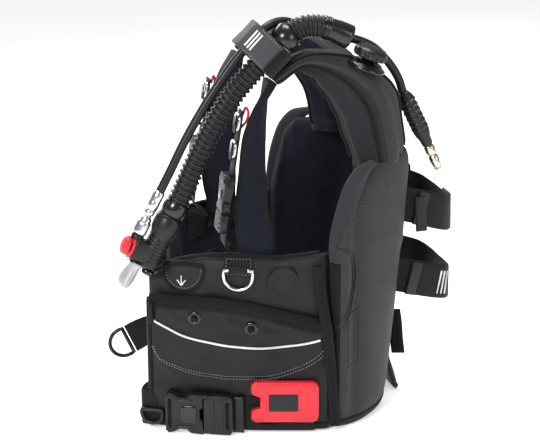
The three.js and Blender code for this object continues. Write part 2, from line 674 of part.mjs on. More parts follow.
piece(vest, 'back_skirt', leaning(66, 0, flapTop,
  (h) => mix(plateRear(flapTop) + 0.6, 114, 1 - h / flapTop),
  (h) => mix(plateRear(flapTop) + 8, 126, 1 - h / flapTop)), 'nylon');

// yoke between the shoulder lobes, above the plate
const yokeRow = (half, y, z) => [
  vec(-half, y - 14, z), vec(half, y - 14, z), vec(half, y, z), vec(-half, y, z),
];
piece(vest, 'collar_yoke', skin([yokeRow(42.5, 114, PLATE_TOP + GAP), yokeRow(40, 107, 410),
  yokeRow(39, 98, 446)]), 'lining');

// drain grommets of the left cargo pocket
[['front', 0.27, 163], ['rear', 0.57, 151]].forEach(([place, share, height]) => {
  const eyelet = leftPlan.frame(leftPlan.knee * share, height, GAP);
  left.add(eyelet);
  piece(eyelet, `${place}_grommet`, grommet(), 'plastic');
});

// left waist belt with its buckle, wrapped round the front edge
const beltOffset = WEB_THICKNESS / 2 + GAP;
const beltStations = wallStrap(leftPlan, [leftPlan.knee * HANDLE_SHARE + 40, 2, 12], BELT_HEIGHT, WEB_WIDTH,
  beltOffset);
[[-6, 1], [-9, -8], [-9, -24], [-4, -36]].forEach(([s, offset]) => {
  beltStations.push({ at: leftPlan.point(s, BELT_HEIGHT, offset), across: vec(0, 0, 1), width: WEB_WIDTH });
});
piece(left, 'left_waist_belt', strap(beltStations, WEB_THICKNESS), 'webbing');
const buckleFrame = leftPlan.frame(leftPlan.knee * BUCKLE_SHARE, BELT_HEIGHT + 1.5,
  beltOffset + (WEB_THICKNESS + BUCKLE_THICKNESS) / 2 + GAP + 0.5);
left.add(buckleFrame);
const socketLength = 52;
const socketX = -BUCKLE_LENGTH / 2 + socketLength / 2;
const plugLength = BUCKLE_LENGTH - socketLength - GAP;
const socketBlank = slab(roundedShape(socketLength, BUCKLE_WIDTH, 7), BUCKLE_THICKNESS)
  .translate(socketX, 0, 0);
const socketRoom = new THREE.BoxGeometry(36, BUCKLE_WIDTH - 16, BUCKLE_THICKNESS - 6)
  .translate(socketX + 12, 0, 0);
piece(buckleFrame, 'waist_buckle_socket', cut(socketBlank, socketRoom), 'plastic');
const plugBlank = slab(roundedShape(plugLength, BUCKLE_WIDTH - 2, 7), BUCKLE_THICKNESS - 1)
  .translate((BUCKLE_LENGTH - plugLength) / 2, 0, 0);
const tongues = new THREE.BoxGeometry(34, BUCKLE_WIDTH - 18, BUCKLE_THICKNESS - 7)
  .translate(socketX + socketLength / 2 - 8, 0, 0);
const plugSlots = [18, 32].map((x) => slab(roundedShape(SLOT, WEB_WIDTH - 6, 1.5), 40).translate(x, 0, 0));
piece(buckleFrame, 'waist_buckle_plug', cut(join(plugBlank, tongues), ...plugSlots), 'plastic');

// plastic ring at the front end of the left belt
const leftRing = leftPlan.frame(9, 27, beltOffset + WEB_THICKNESS / 2 + BELT_RING_WIRE / 2 + SWING_GAP);
left.add(leftRing);
piece(leftRing, 'left_belt_ring', wireRing(36, 25, BELT_RING_WIRE, BELT_RING_WIRE), 'plastic');

// right waist belt, running off the front edge and drooping, with its plastic ring
const rightBelt = wallStrap(rightPlan, [rightPlan.knee * 0.42, 0, 8], 80, WEB_WIDTH, beltOffset);
const beltEnd = rightPlan.point(0, 0, beltOffset);
[[-5, -7, 80], [-8, -22, 77], [-9, -40, 69]].forEach(([x, y, z]) => {
  rightBelt.push({ at: vec(beltEnd.x + x, beltEnd.y + y, z), across: vec(0, 0.25, 1), width: WEB_WIDTH - 4 });
});
piece(right, 'right_waist_belt', strap(rightBelt, WEB_THICKNESS), 'webbing');
const rightRing = new THREE.Group();
rightRing.matrix.makeBasis(vec(0, -0.41, 0.912), vec(0, 0.912, 0.41), vec(-1, 0, 0));
rightRing.matrix.decompose(rightRing.position, rightRing.quaternion, rightRing.scale);
rightRing.position.set(beltEnd.x - 9.2, beltEnd.y - 43.7, 67.3);
right.add(rightRing);
piece(rightRing, 'right_belt_ring', wireRing(48, 33, BELT_RING_WIRE, BELT_RING_WIRE), 'plastic');

// hose, sleeve, elbow, valve, inflator
const hoseCurve = new THREE.CatmullRomCurve3(airway, false, 'centripetal');
const hoseStations = hoseCurve.getPoints(28).map((at) => ({ at, radius: HOSE_RADIUS }));
piece(vest, 'corrugated_hose', tube(hoseStations), 'rubber');
const sleeve = piece(vest, 'hose_sleeve', hoseSleeve(), 'grey');
sleeve.position.copy(SLEEVE_CENTRE);
sleeve.quaternion.setFromUnitVectors(vec(0, 0, 1), SLEEVE_RUN);
piece(vest, 'shoulder_elbow', tube(elbowLine, 20), 'rubber');
const valve = valveFrame();
vest.add(valve);
piece(valve, 'valve_flange', turned([[0, 0], [FLANGE_RADIUS, 0], [FLANGE_RADIUS, 3], [20, FLANGE_HEIGHT],
  [10, FLANGE_HEIGHT], [10, CAP_BASE - GAP], [0, CAP_BASE - GAP]], 28), 'plastic');
piece(valve, 'valve_cap', turned([[0, CAP_BASE], [CAP_RADIUS - 2, CAP_BASE], [CAP_RADIUS, CAP_BASE + 3],
  [CAP_RADIUS, CAP_BASE + 9], [CAP_RADIUS - 5, CAP_BASE + CAP_HEIGHT - 2], [10, CAP_BASE + CAP_HEIGHT],
  [0, CAP_BASE + CAP_HEIGHT]], 28), 'plastic');
inflator(vest);

piece(vest, 'lp_hose', lpHose(), 'rubber');
piece(vest, 'hose_boot', straight(BOOT, [[0, 8], [0.1, 11], [0.72, 12], [0.86, 8.5], [1, 7]]), 'rubber');
piece(vest, 'first_stage_fitting',
  straight(FITTING, [[0, 6], [0.2, 7.5], [0.75, 7.5], [0.8, 6], [1, 6]]), 'steel');

// tank bands
piece(vest, 'upper_tank_band', strap(tankBand(UPPER_BAND), WEB_THICKNESS), 'webbing');
piece(vest, 'lower_tank_band', strap(tankBand(LOWER_BAND), WEB_THICKNESS), 'webbing');
camBuckle(vest, 'upper', UPPER_BAND);
camBuckle(vest, 'lower', LOWER_BAND);

export default vest;
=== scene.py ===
"""Buoyancy compensator vest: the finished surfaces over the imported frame.

Sizes are millimetres in the vest's own layout, as in the part, and metres in Blender.
"""
import math

import bmesh
import bpy
from mathutils import Matrix, Vector, noise


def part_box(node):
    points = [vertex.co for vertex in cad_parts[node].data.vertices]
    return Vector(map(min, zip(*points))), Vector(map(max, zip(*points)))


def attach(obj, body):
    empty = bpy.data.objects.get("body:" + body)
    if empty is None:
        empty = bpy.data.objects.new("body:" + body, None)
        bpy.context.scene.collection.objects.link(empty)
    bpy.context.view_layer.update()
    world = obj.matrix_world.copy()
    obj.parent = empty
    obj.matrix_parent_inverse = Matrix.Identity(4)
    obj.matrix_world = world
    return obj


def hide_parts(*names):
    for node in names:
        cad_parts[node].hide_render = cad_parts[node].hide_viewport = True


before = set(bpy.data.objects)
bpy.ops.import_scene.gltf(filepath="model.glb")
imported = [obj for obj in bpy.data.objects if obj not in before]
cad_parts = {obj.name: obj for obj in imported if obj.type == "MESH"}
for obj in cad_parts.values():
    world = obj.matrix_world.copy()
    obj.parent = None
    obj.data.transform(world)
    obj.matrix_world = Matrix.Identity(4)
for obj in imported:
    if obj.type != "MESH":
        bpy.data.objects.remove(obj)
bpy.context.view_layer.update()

# ---- sizes shared with the part -----------------------------------------------------------------
MM = 0.001
FRONT_SHIFT = 41
GAP = 0.3
HALF_WIDTH = 185
FRONT_REACH = 252
LOBE_HEIGHT = 245
LOBE_THICKNESS = 22
POCKET_THICKNESS = 10.4
POCKET_HEIGHT = 188
PANEL_THICKNESS = 28
CREASE_HEIGHT = 362
BACK_LEAN = 0.11
LEAN_START = 80
WEB_WIDTH = 50
WEB_THICKNESS = 2.4
BELT_HEIGHT = 28.5
HOSE_X = 110
HOSE_RADIUS = 16
LP_RADIUS = 6
PLATE_HALF_WIDTH = 79
PLATE_BOTTOM = 70
PLATE_TOP = 368
SADDLE_HALF_WIDTH = 30
SADDLE_RISE = 3
SADDLE_BOTTOM = 100
BAND_HALF_WIDTH = 72
BAND_REACH = 205
BAND_DROOP = 30
UPPER_BAND = 285
LOWER_BAND = 182
HANDLE_AT = 0.745
RING_AT = 0.5
LOBE_OUTER = -POCKET_THICKNESS - GAP
LOBE_INNER = LOBE_OUTER - LOBE_THICKNESS
STITCH_LENGTH = 2.4
STITCH_SPACE = 1.5
STITCH_RADIUS = 0.42
ACROSS = Vector((1, 0, 0))
UP = Vector((0, 0, 1))
HALVES = ((-1, "in"), (1, "out"))
LEVELS = ((-1, "low"), (1, "high"))


# ---- small tools --------------------------------------------------------------------------------
def mix(a, b, t):
    return a + (b - a) * t


def along(knots, t):
    """Value at t of a chain of (t, value) knots."""
    for (t0, v0), (t1, v1) in zip(knots, knots[1:]):
        if t <= t1:
            return mix(v0, v1, max(0, (t - t0) / (t1 - t0)))
    return knots[-1][1]


def ease(t):
    t = min(1, max(0, t))
    return t * t * (3 - 2 * t)


def ripple(x, y, z=0.0):
    return noise.noise(Vector((x, y, z)))


def ridge(x, y, z=0.0):
    """Sharp-crested folds, 0 to 1."""
    return max(0.0, 1 - 2.6 * abs(ripple(x, y, z))) ** 2


def turns(count):
    """Angles of one full turn in equal steps."""
    return [2 * math.pi * k / count for k in range(count)]


def circle(centre, side, up, wide, high, sides):
    """Round or oval ring of points."""
    return [centre + side * (wide * math.cos(a)) + up * (high * math.sin(a)) for a in turns(sides)]


def spread(t):
    """Share of the way that steps more finely near both ends."""
    return 0.55 * t + 0.45 * (0.5 - 0.5 * math.cos(math.pi * t))


def spline(points, steps=24):
    """Centripetal Catmull-Rom curve through the points, as a dense list."""
    points = [Vector(p) for p in points]
    ends = [2 * points[0] - points[1], *points, 2 * points[-1] - points[-2]]
    dense = []
    for a, b, c, d in zip(ends, ends[1:], ends[2:], ends[3:]):
        ta, tb, tc = (max((q - p).length, 1e-4) ** 0.5 for p, q in ((a, b), (b, c), (c, d)))
        leave = ((b - a) / ta - (c - a) / (ta + tb) + (c - b) / tb) * tb
        arrive = ((c - b) / tb - (d - b) / (tb + tc) + (d - c) / tc) * tb
        for i in range(steps):
            t = i / steps
            t2, t3 = t * t, t * t * t
            dense.append(b * (2 * t3 - 3 * t2 + 1) + leave * (t3 - 2 * t2 + t)
                         + c * (3 * t2 - 2 * t3) + arrive * (t3 - t2))
    dense.append(points[-1])
    return dense


class Path:
    """A line that is read by the distance along it."""

    def __init__(self, points):
        self.points = [Vector(p) for p in points]
        self.marks = [0.0]
        for a, b in zip(self.points, self.points[1:]):
            self.marks.append(self.marks[-1] + (b - a).length)
        self.length = self.marks[-1]

    def at(self, distance):
        distance = min(max(distance, 0), self.length)
        low, high = 0, len(self.marks) - 1
        while high - low > 1:
            middle = (low + high) // 2
            if self.marks[middle] <= distance:
                low = middle
            else:
                high = middle
        span = max(self.marks[high] - self.marks[low], 1e-9)
        return self.points[low].lerp(self.points[high], (distance - self.marks[low]) / span)

    def run(self, distance):
        return (self.at(distance + 0.8) - self.at(distance - 0.8)).normalized()

    def even(self, count):
        return [self.at(self.length * i / count) for i in range(count + 1)]


class Plan:
    """The outer line of one half of the vest, drawn on the wearer's left."""

    def __init__(self, front, side):
        knee = (HALF_WIDTH, -10, 0)
        back = [(HALF_WIDTH - 9, 28, 0), (HALF_WIDTH - 34, 62, 0), (HALF_WIDTH - 64, 88, 0),
                (PLATE_HALF_WIDTH + 17, 99.5, 0), (PLATE_HALF_WIDTH + 2.5, 101, 0)]
        self.line = Path(spline([*front, knee, *back]))
        self.length = self.line.length
        self.side = side
        steps = [self.length * i / 800 for i in range(801)]
        self.knee = min(steps, key=lambda s: (self.line.at(s) - Vector(knee)).length)

    def point(self, s, height, offset):
        run = self.line.run(min(max(s, 1), self.length - 1))
        p = self.line.at(s) + run * (s - min(max(s, 0), self.length))
        back = max(0, (s - self.knee) / (self.length - self.knee))
        lean = BACK_LEAN * (height - LEAN_START) * back * back
        return Vector((self.side * (p.x + run.y * offset), p.y - run.x * offset + lean, height))

    def outward(self, s):
        run = self.line.run(min(max(s, 1), self.length - 1))
        return Vector((self.side * run.y, -run.x, 0))

    def forward(self, s):
        """Direction along the wall, towards the back."""
        run = self.line.run(min(max(s, 1), self.length - 1))
        return Vector((self.side * run.x, run.y, 0))

    def distance(self, y):
        """Distance along the wall of the place that is at depth y, in front of the widest point."""
        steps = [self.knee * i / 200 for i in range(201)]
        return min(steps, key=lambda s: abs(self.line.at(s).y - y))


left_plan = Plan([(HALF_WIDTH - 84, -FRONT_REACH, 0), (HALF_WIDTH - 57, -FRONT_REACH + 53, 0),
                  (HALF_WIDTH - 35, -146, 0), (HALF_WIDTH - 14, -78, 0)], 1)
right_plan = Plan([(HALF_WIDTH - 119, -FRONT_REACH + 45, 0), (HALF_WIDTH - 73, -FRONT_REACH + 64, 0),
                   (HALF_WIDTH - 37, -142, 0), (HALF_WIDTH - 13, -78, 0)], -1)


# ---- materials ----------------------------------------------------------------------------------
class Look:
    """Small builder for a node material."""

    def __init__(self, name, color, roughness, metallic=0.0, uv=False, shine=0.35):
        self.material = bpy.data.materials.new(name)
        self.material.use_nodes = True
        self.tree = self.material.node_tree
        self.shader = self.tree.nodes["Principled BSDF"]
        self.shader.inputs["Base Color"].default_value = (*color, 1)
        self.shader.inputs["Roughness"].default_value = roughness
        self.shader.inputs["Metallic"].default_value = metallic
        self.shader.inputs["Specular IOR Level"].default_value = 0.5 if metallic else shine
        self.color = color
        self.place = self.tree.nodes.new("ShaderNodeTexCoord").outputs["UV" if uv else "Object"]
        self.height = None

    def node(self, kind, **values):
        node = self.tree.nodes.new(kind)
        for key, value in values.items():
            if key in node.inputs:
                node.inputs[key].default_value = value
            else:
                setattr(node, key, value)
        return node

    def link(self, a, b):
        self.tree.links.new(a, b)

    def noise(self, scale, detail, stretch=None):
        source = self.place
        if stretch:
            mapping = self.node("ShaderNodeMapping", Scale=stretch)
            self.link(source, mapping.inputs["Vector"])
            source = mapping.outputs["Vector"]
        texture = self.node("ShaderNodeTexNoise", Scale=scale, Detail=detail)
        self.link(source, texture.inputs["Vector"])
        return texture.outputs["Fac"]

    def waves(self, pitch, turn=0.0, distortion=0.0):
        """Ridges every pitch millimetres, across the first axis turned by an angle."""
        mapping = self.node("ShaderNodeMapping", Rotation=(0, 0, turn))
        self.link(self.place, mapping.inputs["Vector"])
        texture = self.node("ShaderNodeTexWave", Scale=0.314 / (pitch * MM), Distortion=distortion)
        texture.bands_direction = "X"
        self.link(mapping.outputs["Vector"], texture.inputs["Vector"])
        return texture.outputs["Fac"]

    def math(self, operation, a, b):
        node = self.node("ShaderNodeMath", operation=operation)
        for socket, value in zip(node.inputs, (a, b)):
            if isinstance(value, (int, float)):
                socket.default_value = value
            else:
                self.link(value, socket)
        return node.outputs[0]

    def tint(self, fac, darker, lighter, low=0.3, high=0.7):
        """Colour from darker to lighter shares of the base colour."""
        ramp = self.node("ShaderNodeValToRGB")
        ramp.color_ramp.elements[0].position = low
        ramp.color_ramp.elements[1].position = high
        for element, share in zip(ramp.color_ramp.elements, (darker, lighter)):
            element.color = (*(min(1, c * share) for c in self.color), 1)
        self.link(fac, ramp.inputs["Fac"])
        self.link(ramp.outputs["Color"], self.shader.inputs["Base Color"])
        return self

    def gloss(self, fac, low, high):
        spread = self.node("ShaderNodeMapRange")
        spread.inputs["To Min"].default_value = low
        spread.inputs["To Max"].default_value = high
        self.link(fac, spread.inputs["Value"])
        self.link(spread.outputs["Result"], self.shader.inputs["Roughness"])
        return self

    def bump(self, fac, depth, strength=1.0):
        """Raised detail, depth in millimetres."""
        node = self.node("ShaderNodeBump", Strength=strength, Distance=depth * MM)
        self.link(fac, node.inputs["Height"])
        if self.height:
            self.link(self.height, node.inputs["Normal"])
        self.height = node.outputs["Normal"]
        self.link(self.height, self.shader.inputs["Normal"])
        return self

    def sheen(self, weight):
        self.shader.inputs["Sheen Weight"].default_value = weight
        self.shader.inputs["Sheen Roughness"].default_value = 0.5
        return self

    def coat(self, weight):
        self.shader.inputs["Coat Weight"].default_value = weight
        self.shader.inputs["Coat Roughness"].default_value = 0.2
        return self


def cloth(name, color, roughness, thread, depth, sheen):
    """Woven cloth: two sets of threads, with uneven colour and a slightly rubbed surface."""
    look = Look(name, color, roughness, uv=True, shine=0.14)
    weave = look.math("MULTIPLY", look.waves(thread), look.waves(thread, math.pi / 2))
    broad = look.noise(14, 6)
    fine = look.noise(420, 2)
    tone = look.math("ADD", look.math("MULTIPLY", broad, 0.6), look.math("MULTIPLY", weave, 0.55))
    look.tint(tone, 0.75, 1.3)
    look.gloss(broad, roughness - 0.12, roughness + 0.1)
    look.bump(weave, depth).bump(fine, depth * 0.5, 0.5)
    return look.sheen(sheen).material


def ribbed_cloth(name, color, roughness, pitch, turn):
    """Heavy pack cloth: raised ribs over a fine weave, coloured lighter on the ribs."""
    look = Look(name, color, roughness, uv=True, shine=0.16)
    ribs = look.waves(pitch, turn, 0.5)
    weave = look.math("MULTIPLY", look.waves(1.2), look.waves(1.2, math.pi / 2))
    broad = look.noise(12, 6)
    tone = look.math("ADD", look.math("MULTIPLY", ribs, 0.65), look.math("MULTIPLY", broad, 0.35))
    look.tint(tone, 0.6, 1.4, 0.15, 0.85)
    look.gloss(broad, roughness - 0.1, roughness + 0.1)
    look.bump(ribs, 0.5).bump(weave, 0.15, 0.6)
    return look.sheen(0.08).material


def coated(name, color, roughness):
    """Coated pack cloth: close weave under a skin that catches soft light."""
    look = Look(name, color, roughness, uv=True, shine=0.28)
    weave = look.math("MULTIPLY", look.waves(1.1), look.waves(1.1, math.pi / 2))
    broad = look.noise(9, 8)
    crush = look.noise(60, 5)
    look.tint(broad, 0.75, 1.35)
    look.gloss(crush, roughness - 0.1, roughness + 0.16)
    look.bump(weave, 0.12).bump(crush, 0.7, 0.6)
    return look.sheen(0.03).material


def webbed(name, color):
    """Ribbed webbing: close cross ribs with wider lengthwise cords."""
    look = Look(name, color, 0.62, uv=True, shine=0.2)
    rib_pitch = 2.2
    ribs = look.waves(rib_pitch)
    cords = look.waves(rib_pitch * 2.6, math.pi / 2)
    weave = look.math("ADD", look.math("MULTIPLY", ribs, 0.7), look.math("MULTIPLY", cords, 0.3))
    broad = look.noise(20, 5)
    tone = look.math("ADD", look.math("MULTIPLY", weave, 0.5), look.math("MULTIPLY", broad, 0.4))
    look.tint(tone, 0.6, 1.6)
    look.gloss(broad, 0.5, 0.75)
    look.bump(weave, 0.5)
    return look.sheen(0.06).material


def moulded(name, color, roughness, grain=0.05, coat=0.0):
    """Moulded plastic or rubber: fine grain, faint flow marks and handling wear."""
    look = Look(name, color, roughness)
    fine = look.noise(900, 3)
    broad = look.noise(25, 6)
    look.tint(broad, 0.8, 1.3)
    look.gloss(broad, roughness - 0.08, roughness + 0.1)
    look.bump(fine, grain)
    return look.coat(coat).material


def metal(name, color, roughness):
    """Polished metal with fine draw lines and smudges."""
    look = Look(name, color, roughness, metallic=1.0)
    lines = look.noise(60, 4, stretch=(1, 1, 12))
    smudge = look.noise(90, 6)
    look.tint(smudge, 0.8, 1.08)
    look.gloss(lines, roughness - 0.06, roughness + 0.12)
    look.bump(lines, 0.02)
    return look.material


NYLON = coated("coated nylon", (0.004, 0.0042, 0.005), 0.42)
GLOSSY = coated("glossy panel", (0.003, 0.003, 0.0035), 0.3)
BALLISTIC = ribbed_cloth("ballistic weave", (0.03, 0.031, 0.034), 0.6, 3.2, math.pi / 2)
SHOULDER_CLOTH = ribbed_cloth("shoulder weave", (0.03, 0.031, 0.034), 0.58, 3.2, 0)
EDGE_CLOTH = cloth("edge weave", (0.03, 0.031, 0.035), 0.66, 1.4, 0.25, 0.06)
GUSSET = cloth("gusset weave", (0.02, 0.021, 0.024), 0.7, 1.6, 0.3, 0.06)
LINING = cloth("lining mesh", (0.008, 0.0095, 0.018), 0.85, 3.2, 0.8, 0.08)
BINDING = cloth("edge binding", (0.007, 0.007, 0.008), 0.68, 1.3, 0.25, 0.05)
WEBBING = webbed("webbing", (0.006, 0.006, 0.007))
LOOP = cloth("hook and loop", (0.005, 0.005, 0.006), 0.95, 1.5, 0.9, 0.15)
SLEEVE = cloth("sleeve weave", (0.06, 0.061, 0.066), 0.6, 1.2, 0.2, 0.08)
PLASTIC = moulded("moulded black", (0.008, 0.008, 0.009), 0.36)
GLOSS_BLACK = moulded("gloss black", (0.005, 0.005, 0.006), 0.18, 0.01, 0.4)
RUBBER = moulded("hose rubber", (0.009, 0.0095, 0.011), 0.4, 0.04)
RED = moulded("red rubber", (0.62, 0.018, 0.032), 0.36, 0.03, 0.15)
PALE = moulded("pale silicone", (0.42, 0.44, 0.46), 0.34, 0.02, 0.2)
WHITE = moulded("white piping", (0.62, 0.63, 0.64), 0.45, 0.05)
STEEL = metal("polished steel", (0.72, 0.72, 0.74), 0.2)
BRASS = metal("plated brass", (0.66, 0.6, 0.5), 0.24)
THREAD = moulded("thread", (0.03, 0.03, 0.034), 0.6, 0.05)
PALE_THREAD = moulded("pale thread", (0.3, 0.31, 0.32), 0.6, 0.05)


# ---- pieces -------------------------------------------------------------------------------------
def to_metres(p):
    return Vector((p[0] * MM, (p[1] + FRONT_SHIFT) * MM, p[2] * MM))


def piece(name, mesh, look, body="vest", nodes=()):
    """Puts a mesh with its look, or list of looks, on a body; nodes are the solids that it replaces."""
    mesh.name = name
    for material in look if isinstance(look, list) else [look]:
        mesh.materials.append(material)
    thing = bpy.data.objects.new(name, mesh)
    bpy.context.scene.collection.objects.link(thing)
    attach(thing, body)
    if nodes:
        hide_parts(*nodes)
    return thing


def surface(points, faces, coordinates, indices=None):
    """Mesh from millimetre points; coordinates are the metre UVs of each face's corners."""
    mesh = bpy.data.meshes.new("piece")
    mesh.from_pydata([to_metres(p) for p in points], [], faces)
    layer = mesh.uv_layers.new(name="UVMap")
    flat = [uv for face in coordinates for uv in face]
    for loop, (u, v) in zip(layer.data, flat):
        loop.uv = (u * MM, v * MM)
    for face in mesh.polygons:
        face.use_smooth = True
    if indices:
        for face, index in zip(mesh.polygons, indices):
            face.material_index = index
    edit = bmesh.new()
    edit.from_mesh(mesh)
    bmesh.ops.remove_doubles(edit, verts=edit.verts, dist=1e-6)
    bmesh.ops.recalc_face_normals(edit, faces=edit.faces)
    edit.to_mesh(mesh)
    edit.free()
    return mesh


def loft(rings, caps=True, index_of=lambda j: 0):
    """Skin over equal closed rings of points; index_of picks the look of the strip at point j."""
    count = len(rings[0])
    middle = [sum(ring, Vector()) / count for ring in rings]
    lengths = [0.0]
    for a, b in zip(middle, middle[1:]):
        lengths.append(lengths[-1] + (b - a).length)
    rounds = []
    for ring in rings:
        marks = [0.0]
        for j in range(count):
            marks.append(marks[-1] + (ring[(j + 1) % count] - ring[j]).length)
        rounds.append(marks)
    faces, coordinates, indices = [], [], []
    for i in range(len(rings) - 1):
        for j in range(count):
            k = (j + 1) % count
            faces.append((i * count + j, i * count + k, (i + 1) * count + k, (i + 1) * count + j))
            coordinates.append([(lengths[i], rounds[i][j]), (lengths[i], rounds[i][j + 1]),
                                (lengths[i + 1], rounds[i + 1][j + 1]), (lengths[i + 1], rounds[i + 1][j])])
            indices.append(index_of(j))
    if caps:
        for i in (0, len(rings) - 1):
            faces.append(list(range(i * count, (i + 1) * count)))
            coordinates.append([(rings[i][j].x, rings[i][j].z) for j in range(count)])
            indices.append(index_of(0))
    return surface([p for ring in rings for p in ring], faces, coordinates, indices)


def across_of(run, across):
    across = across - run * across.dot(run)
    return across.normalized()


def strap_rings(stations, thickness, gap=4.0, edge=0.3):
    """Sections of a flat strap through (point, across, width) stations; edges are slightly thinner."""
    path = Path(spline([s[0] for s in stations], 12))
    knots = [0.0]
    for a, b in zip(stations, stations[1:]):
        knots.append(knots[-1] + (b[0] - a[0]).length)
    scale = path.length / knots[-1]
    knots = [k * scale for k in knots]
    count = max(2, int(path.length / gap))
    rings = []
    for i in range(count + 1):
        d = path.length * i / count
        j = max(k for k in range(len(knots) - 1) if knots[k] <= d + 1e-6 or k == 0)
        t = min(1, (d - knots[j]) / max(knots[j + 1] - knots[j], 1e-6))
        run = path.run(d)
        side = across_of(run, Vector(stations[j][1]).lerp(Vector(stations[j + 1][1]), t))
        up = run.cross(side)
        half = mix(stations[j][2], stations[j + 1][2], t) / 2
        lift = thickness / 2
        near, low = 1 - 0.8 / half, edge + 0.35
        shape = [(-1, 0), (-near, low), (-0.9, 1), (-0.45, 1), (0, 1), (0.45, 1), (0.9, 1), (near, low),
                 (1, 0), (near, -low), (0.9, -1), (0, -1), (-0.9, -1), (-near, -low)]
        rings.append([path.at(d) + side * (half * u) + up * (lift * v) for u, v in shape])
    return rings


def strap(stations, thickness=WEB_THICKNESS, gap=4.0):
    """Webbing through (point, across, width) stations."""
    return loft(strap_rings([(Vector(a), b, c) for a, b, c in stations], thickness, gap))


def ring_frames(points):
    """Two directions square to a line at each of its points, without twist."""
    path = [Vector(p) for p in points]
    runs = [(path[min(i + 1, len(path) - 1)] - path[max(i - 1, 0)]).normalized() for i in range(len(path))]
    side = runs[0].orthogonal().normalized()
    frames = []
    for run in runs:
        side = across_of(run, side)
        frames.append((side, run.cross(side)))
    return frames


def tube(stations, sides=24):
    """Round tube through (point, radius) stations."""
    frames = ring_frames([p for p, _ in stations])
    return loft([circle(Vector(p), side, up, radius, radius, sides)
                 for (p, radius), (side, up) in zip(stations, frames)])


def wire(points, radius, closed=False, sides=12):
    """Round wire of one radius along a line; a closed one lies flat."""
    points = [Vector(p) for p in points]
    if not closed:
        return tube([(p, radius) for p in points], sides)
    count = len(points)
    normal = (points[0] - points[count // 3]).cross(points[0] - points[2 * count // 3]).normalized()
    rings = []
    for i, p in enumerate(points):
        run = (points[(i + 1) % count] - points[i - 1]).normalized()
        rings.append(circle(p, run.cross(normal).normalized(), normal, radius, radius, sides))
    rings.append(rings[0])
    return loft(rings, caps=False)


def lathe(centre, axis, profile, sides=48, radius_of=lambda i, angle: 1):
    """Turned piece: (radius, height) points about an axis; radius_of cuts flats or knurls in a ring."""
    axis = Vector(axis).normalized()
    side = axis.orthogonal().normalized()
    up = axis.cross(side)
    rings = []
    for i, (radius, height) in enumerate(profile):
        ring = []
        for angle in turns(sides):
            r = max(radius, 0.01) * radius_of(i, angle)
            ring.append(Vector(centre) + axis * height + side * (r * math.cos(angle))
                        + up * (r * math.sin(angle)))
        rings.append(ring)
    return loft(rings)


def plate(centre, axes, outline, thickness, rounding=0.8, dome=0.0):
    """Flat moulded piece: outline (x, y) points, edges rounded, top crowned by dome."""
    x, y, z = (Vector(a).normalized() for a in axes)
    middle = Vector((sum(p[0] for p in outline), sum(p[1] for p in outline))) / len(outline)
    half = thickness / 2
    rings = []
    small = rounding * 0.3
    for inset, height in ((0.06, -half), (small, -half), (0, -half + rounding), (0, half - rounding),
                          (small, half - small), (rounding, half)):
        ring = []
        for px, py in outline:
            d = Vector((px, py)) - middle
            q = middle + d * max(0.02, 1 - inset / max(d.length, 0.1))
            ring.append(Vector(centre) + x * q.x + y * q.y + z * height)
        rings.append(ring)
    for share in (0.7, 0.4, 0.12):
        ring = []
        for px, py in outline:
            q = middle + (Vector((px, py)) - middle) * share
            ring.append(Vector(centre) + x * q.x + y * q.y + z * (half + dome * (1 - share * share)))
        rings.append(ring)
    return loft(rings)


def rounded(width, height, radius, arc=5):
    """Outline of a rectangle with round corners."""
    outline = []
    for cx, cy, start in ((1, 1, 0), (-1, 1, 90), (-1, -1, 180), (1, -1, 270)):
        for k in range(arc + 1):
            angle = math.radians(start + 90 * k / arc)
            outline.append((cx * (width / 2 - radius) + radius * math.cos(angle),
                            cy * (height / 2 - radius) + radius * math.sin(angle)))
    return outline


def dashes(name, rows, look=THREAD):
    """Sewn stitches along lines; a row is a line and the direction that its stitches stand proud in."""
    points, faces = [], []
    for line, up in rows:
        path = Path(line)
        count = int(path.length / (STITCH_LENGTH + STITCH_SPACE))
        for i in range(count):
            middle = (i + 0.5) * path.length / count
            a, b = path.at(middle - STITCH_LENGTH / 2), path.at(middle + STITCH_LENGTH / 2)
            side = (b - a).normalized().cross(up).normalized() * STITCH_RADIUS
            top = up.normalized() * STITCH_RADIUS
            centre = (a + b) / 2
            n = len(points)
            points += [a - top * 0.5, centre + side - top * 0.3, centre + top, centre - side - top * 0.3,
                       b - top * 0.5]
            faces += [(n, n + 1, n + 2), (n, n + 2, n + 3), (n + 4, n + 2, n + 1), (n + 4, n + 3, n + 2)]
    mesh = surface(points, faces, [[(0, 0)] * 3 for _ in faces])
    return piece(name, mesh, look)


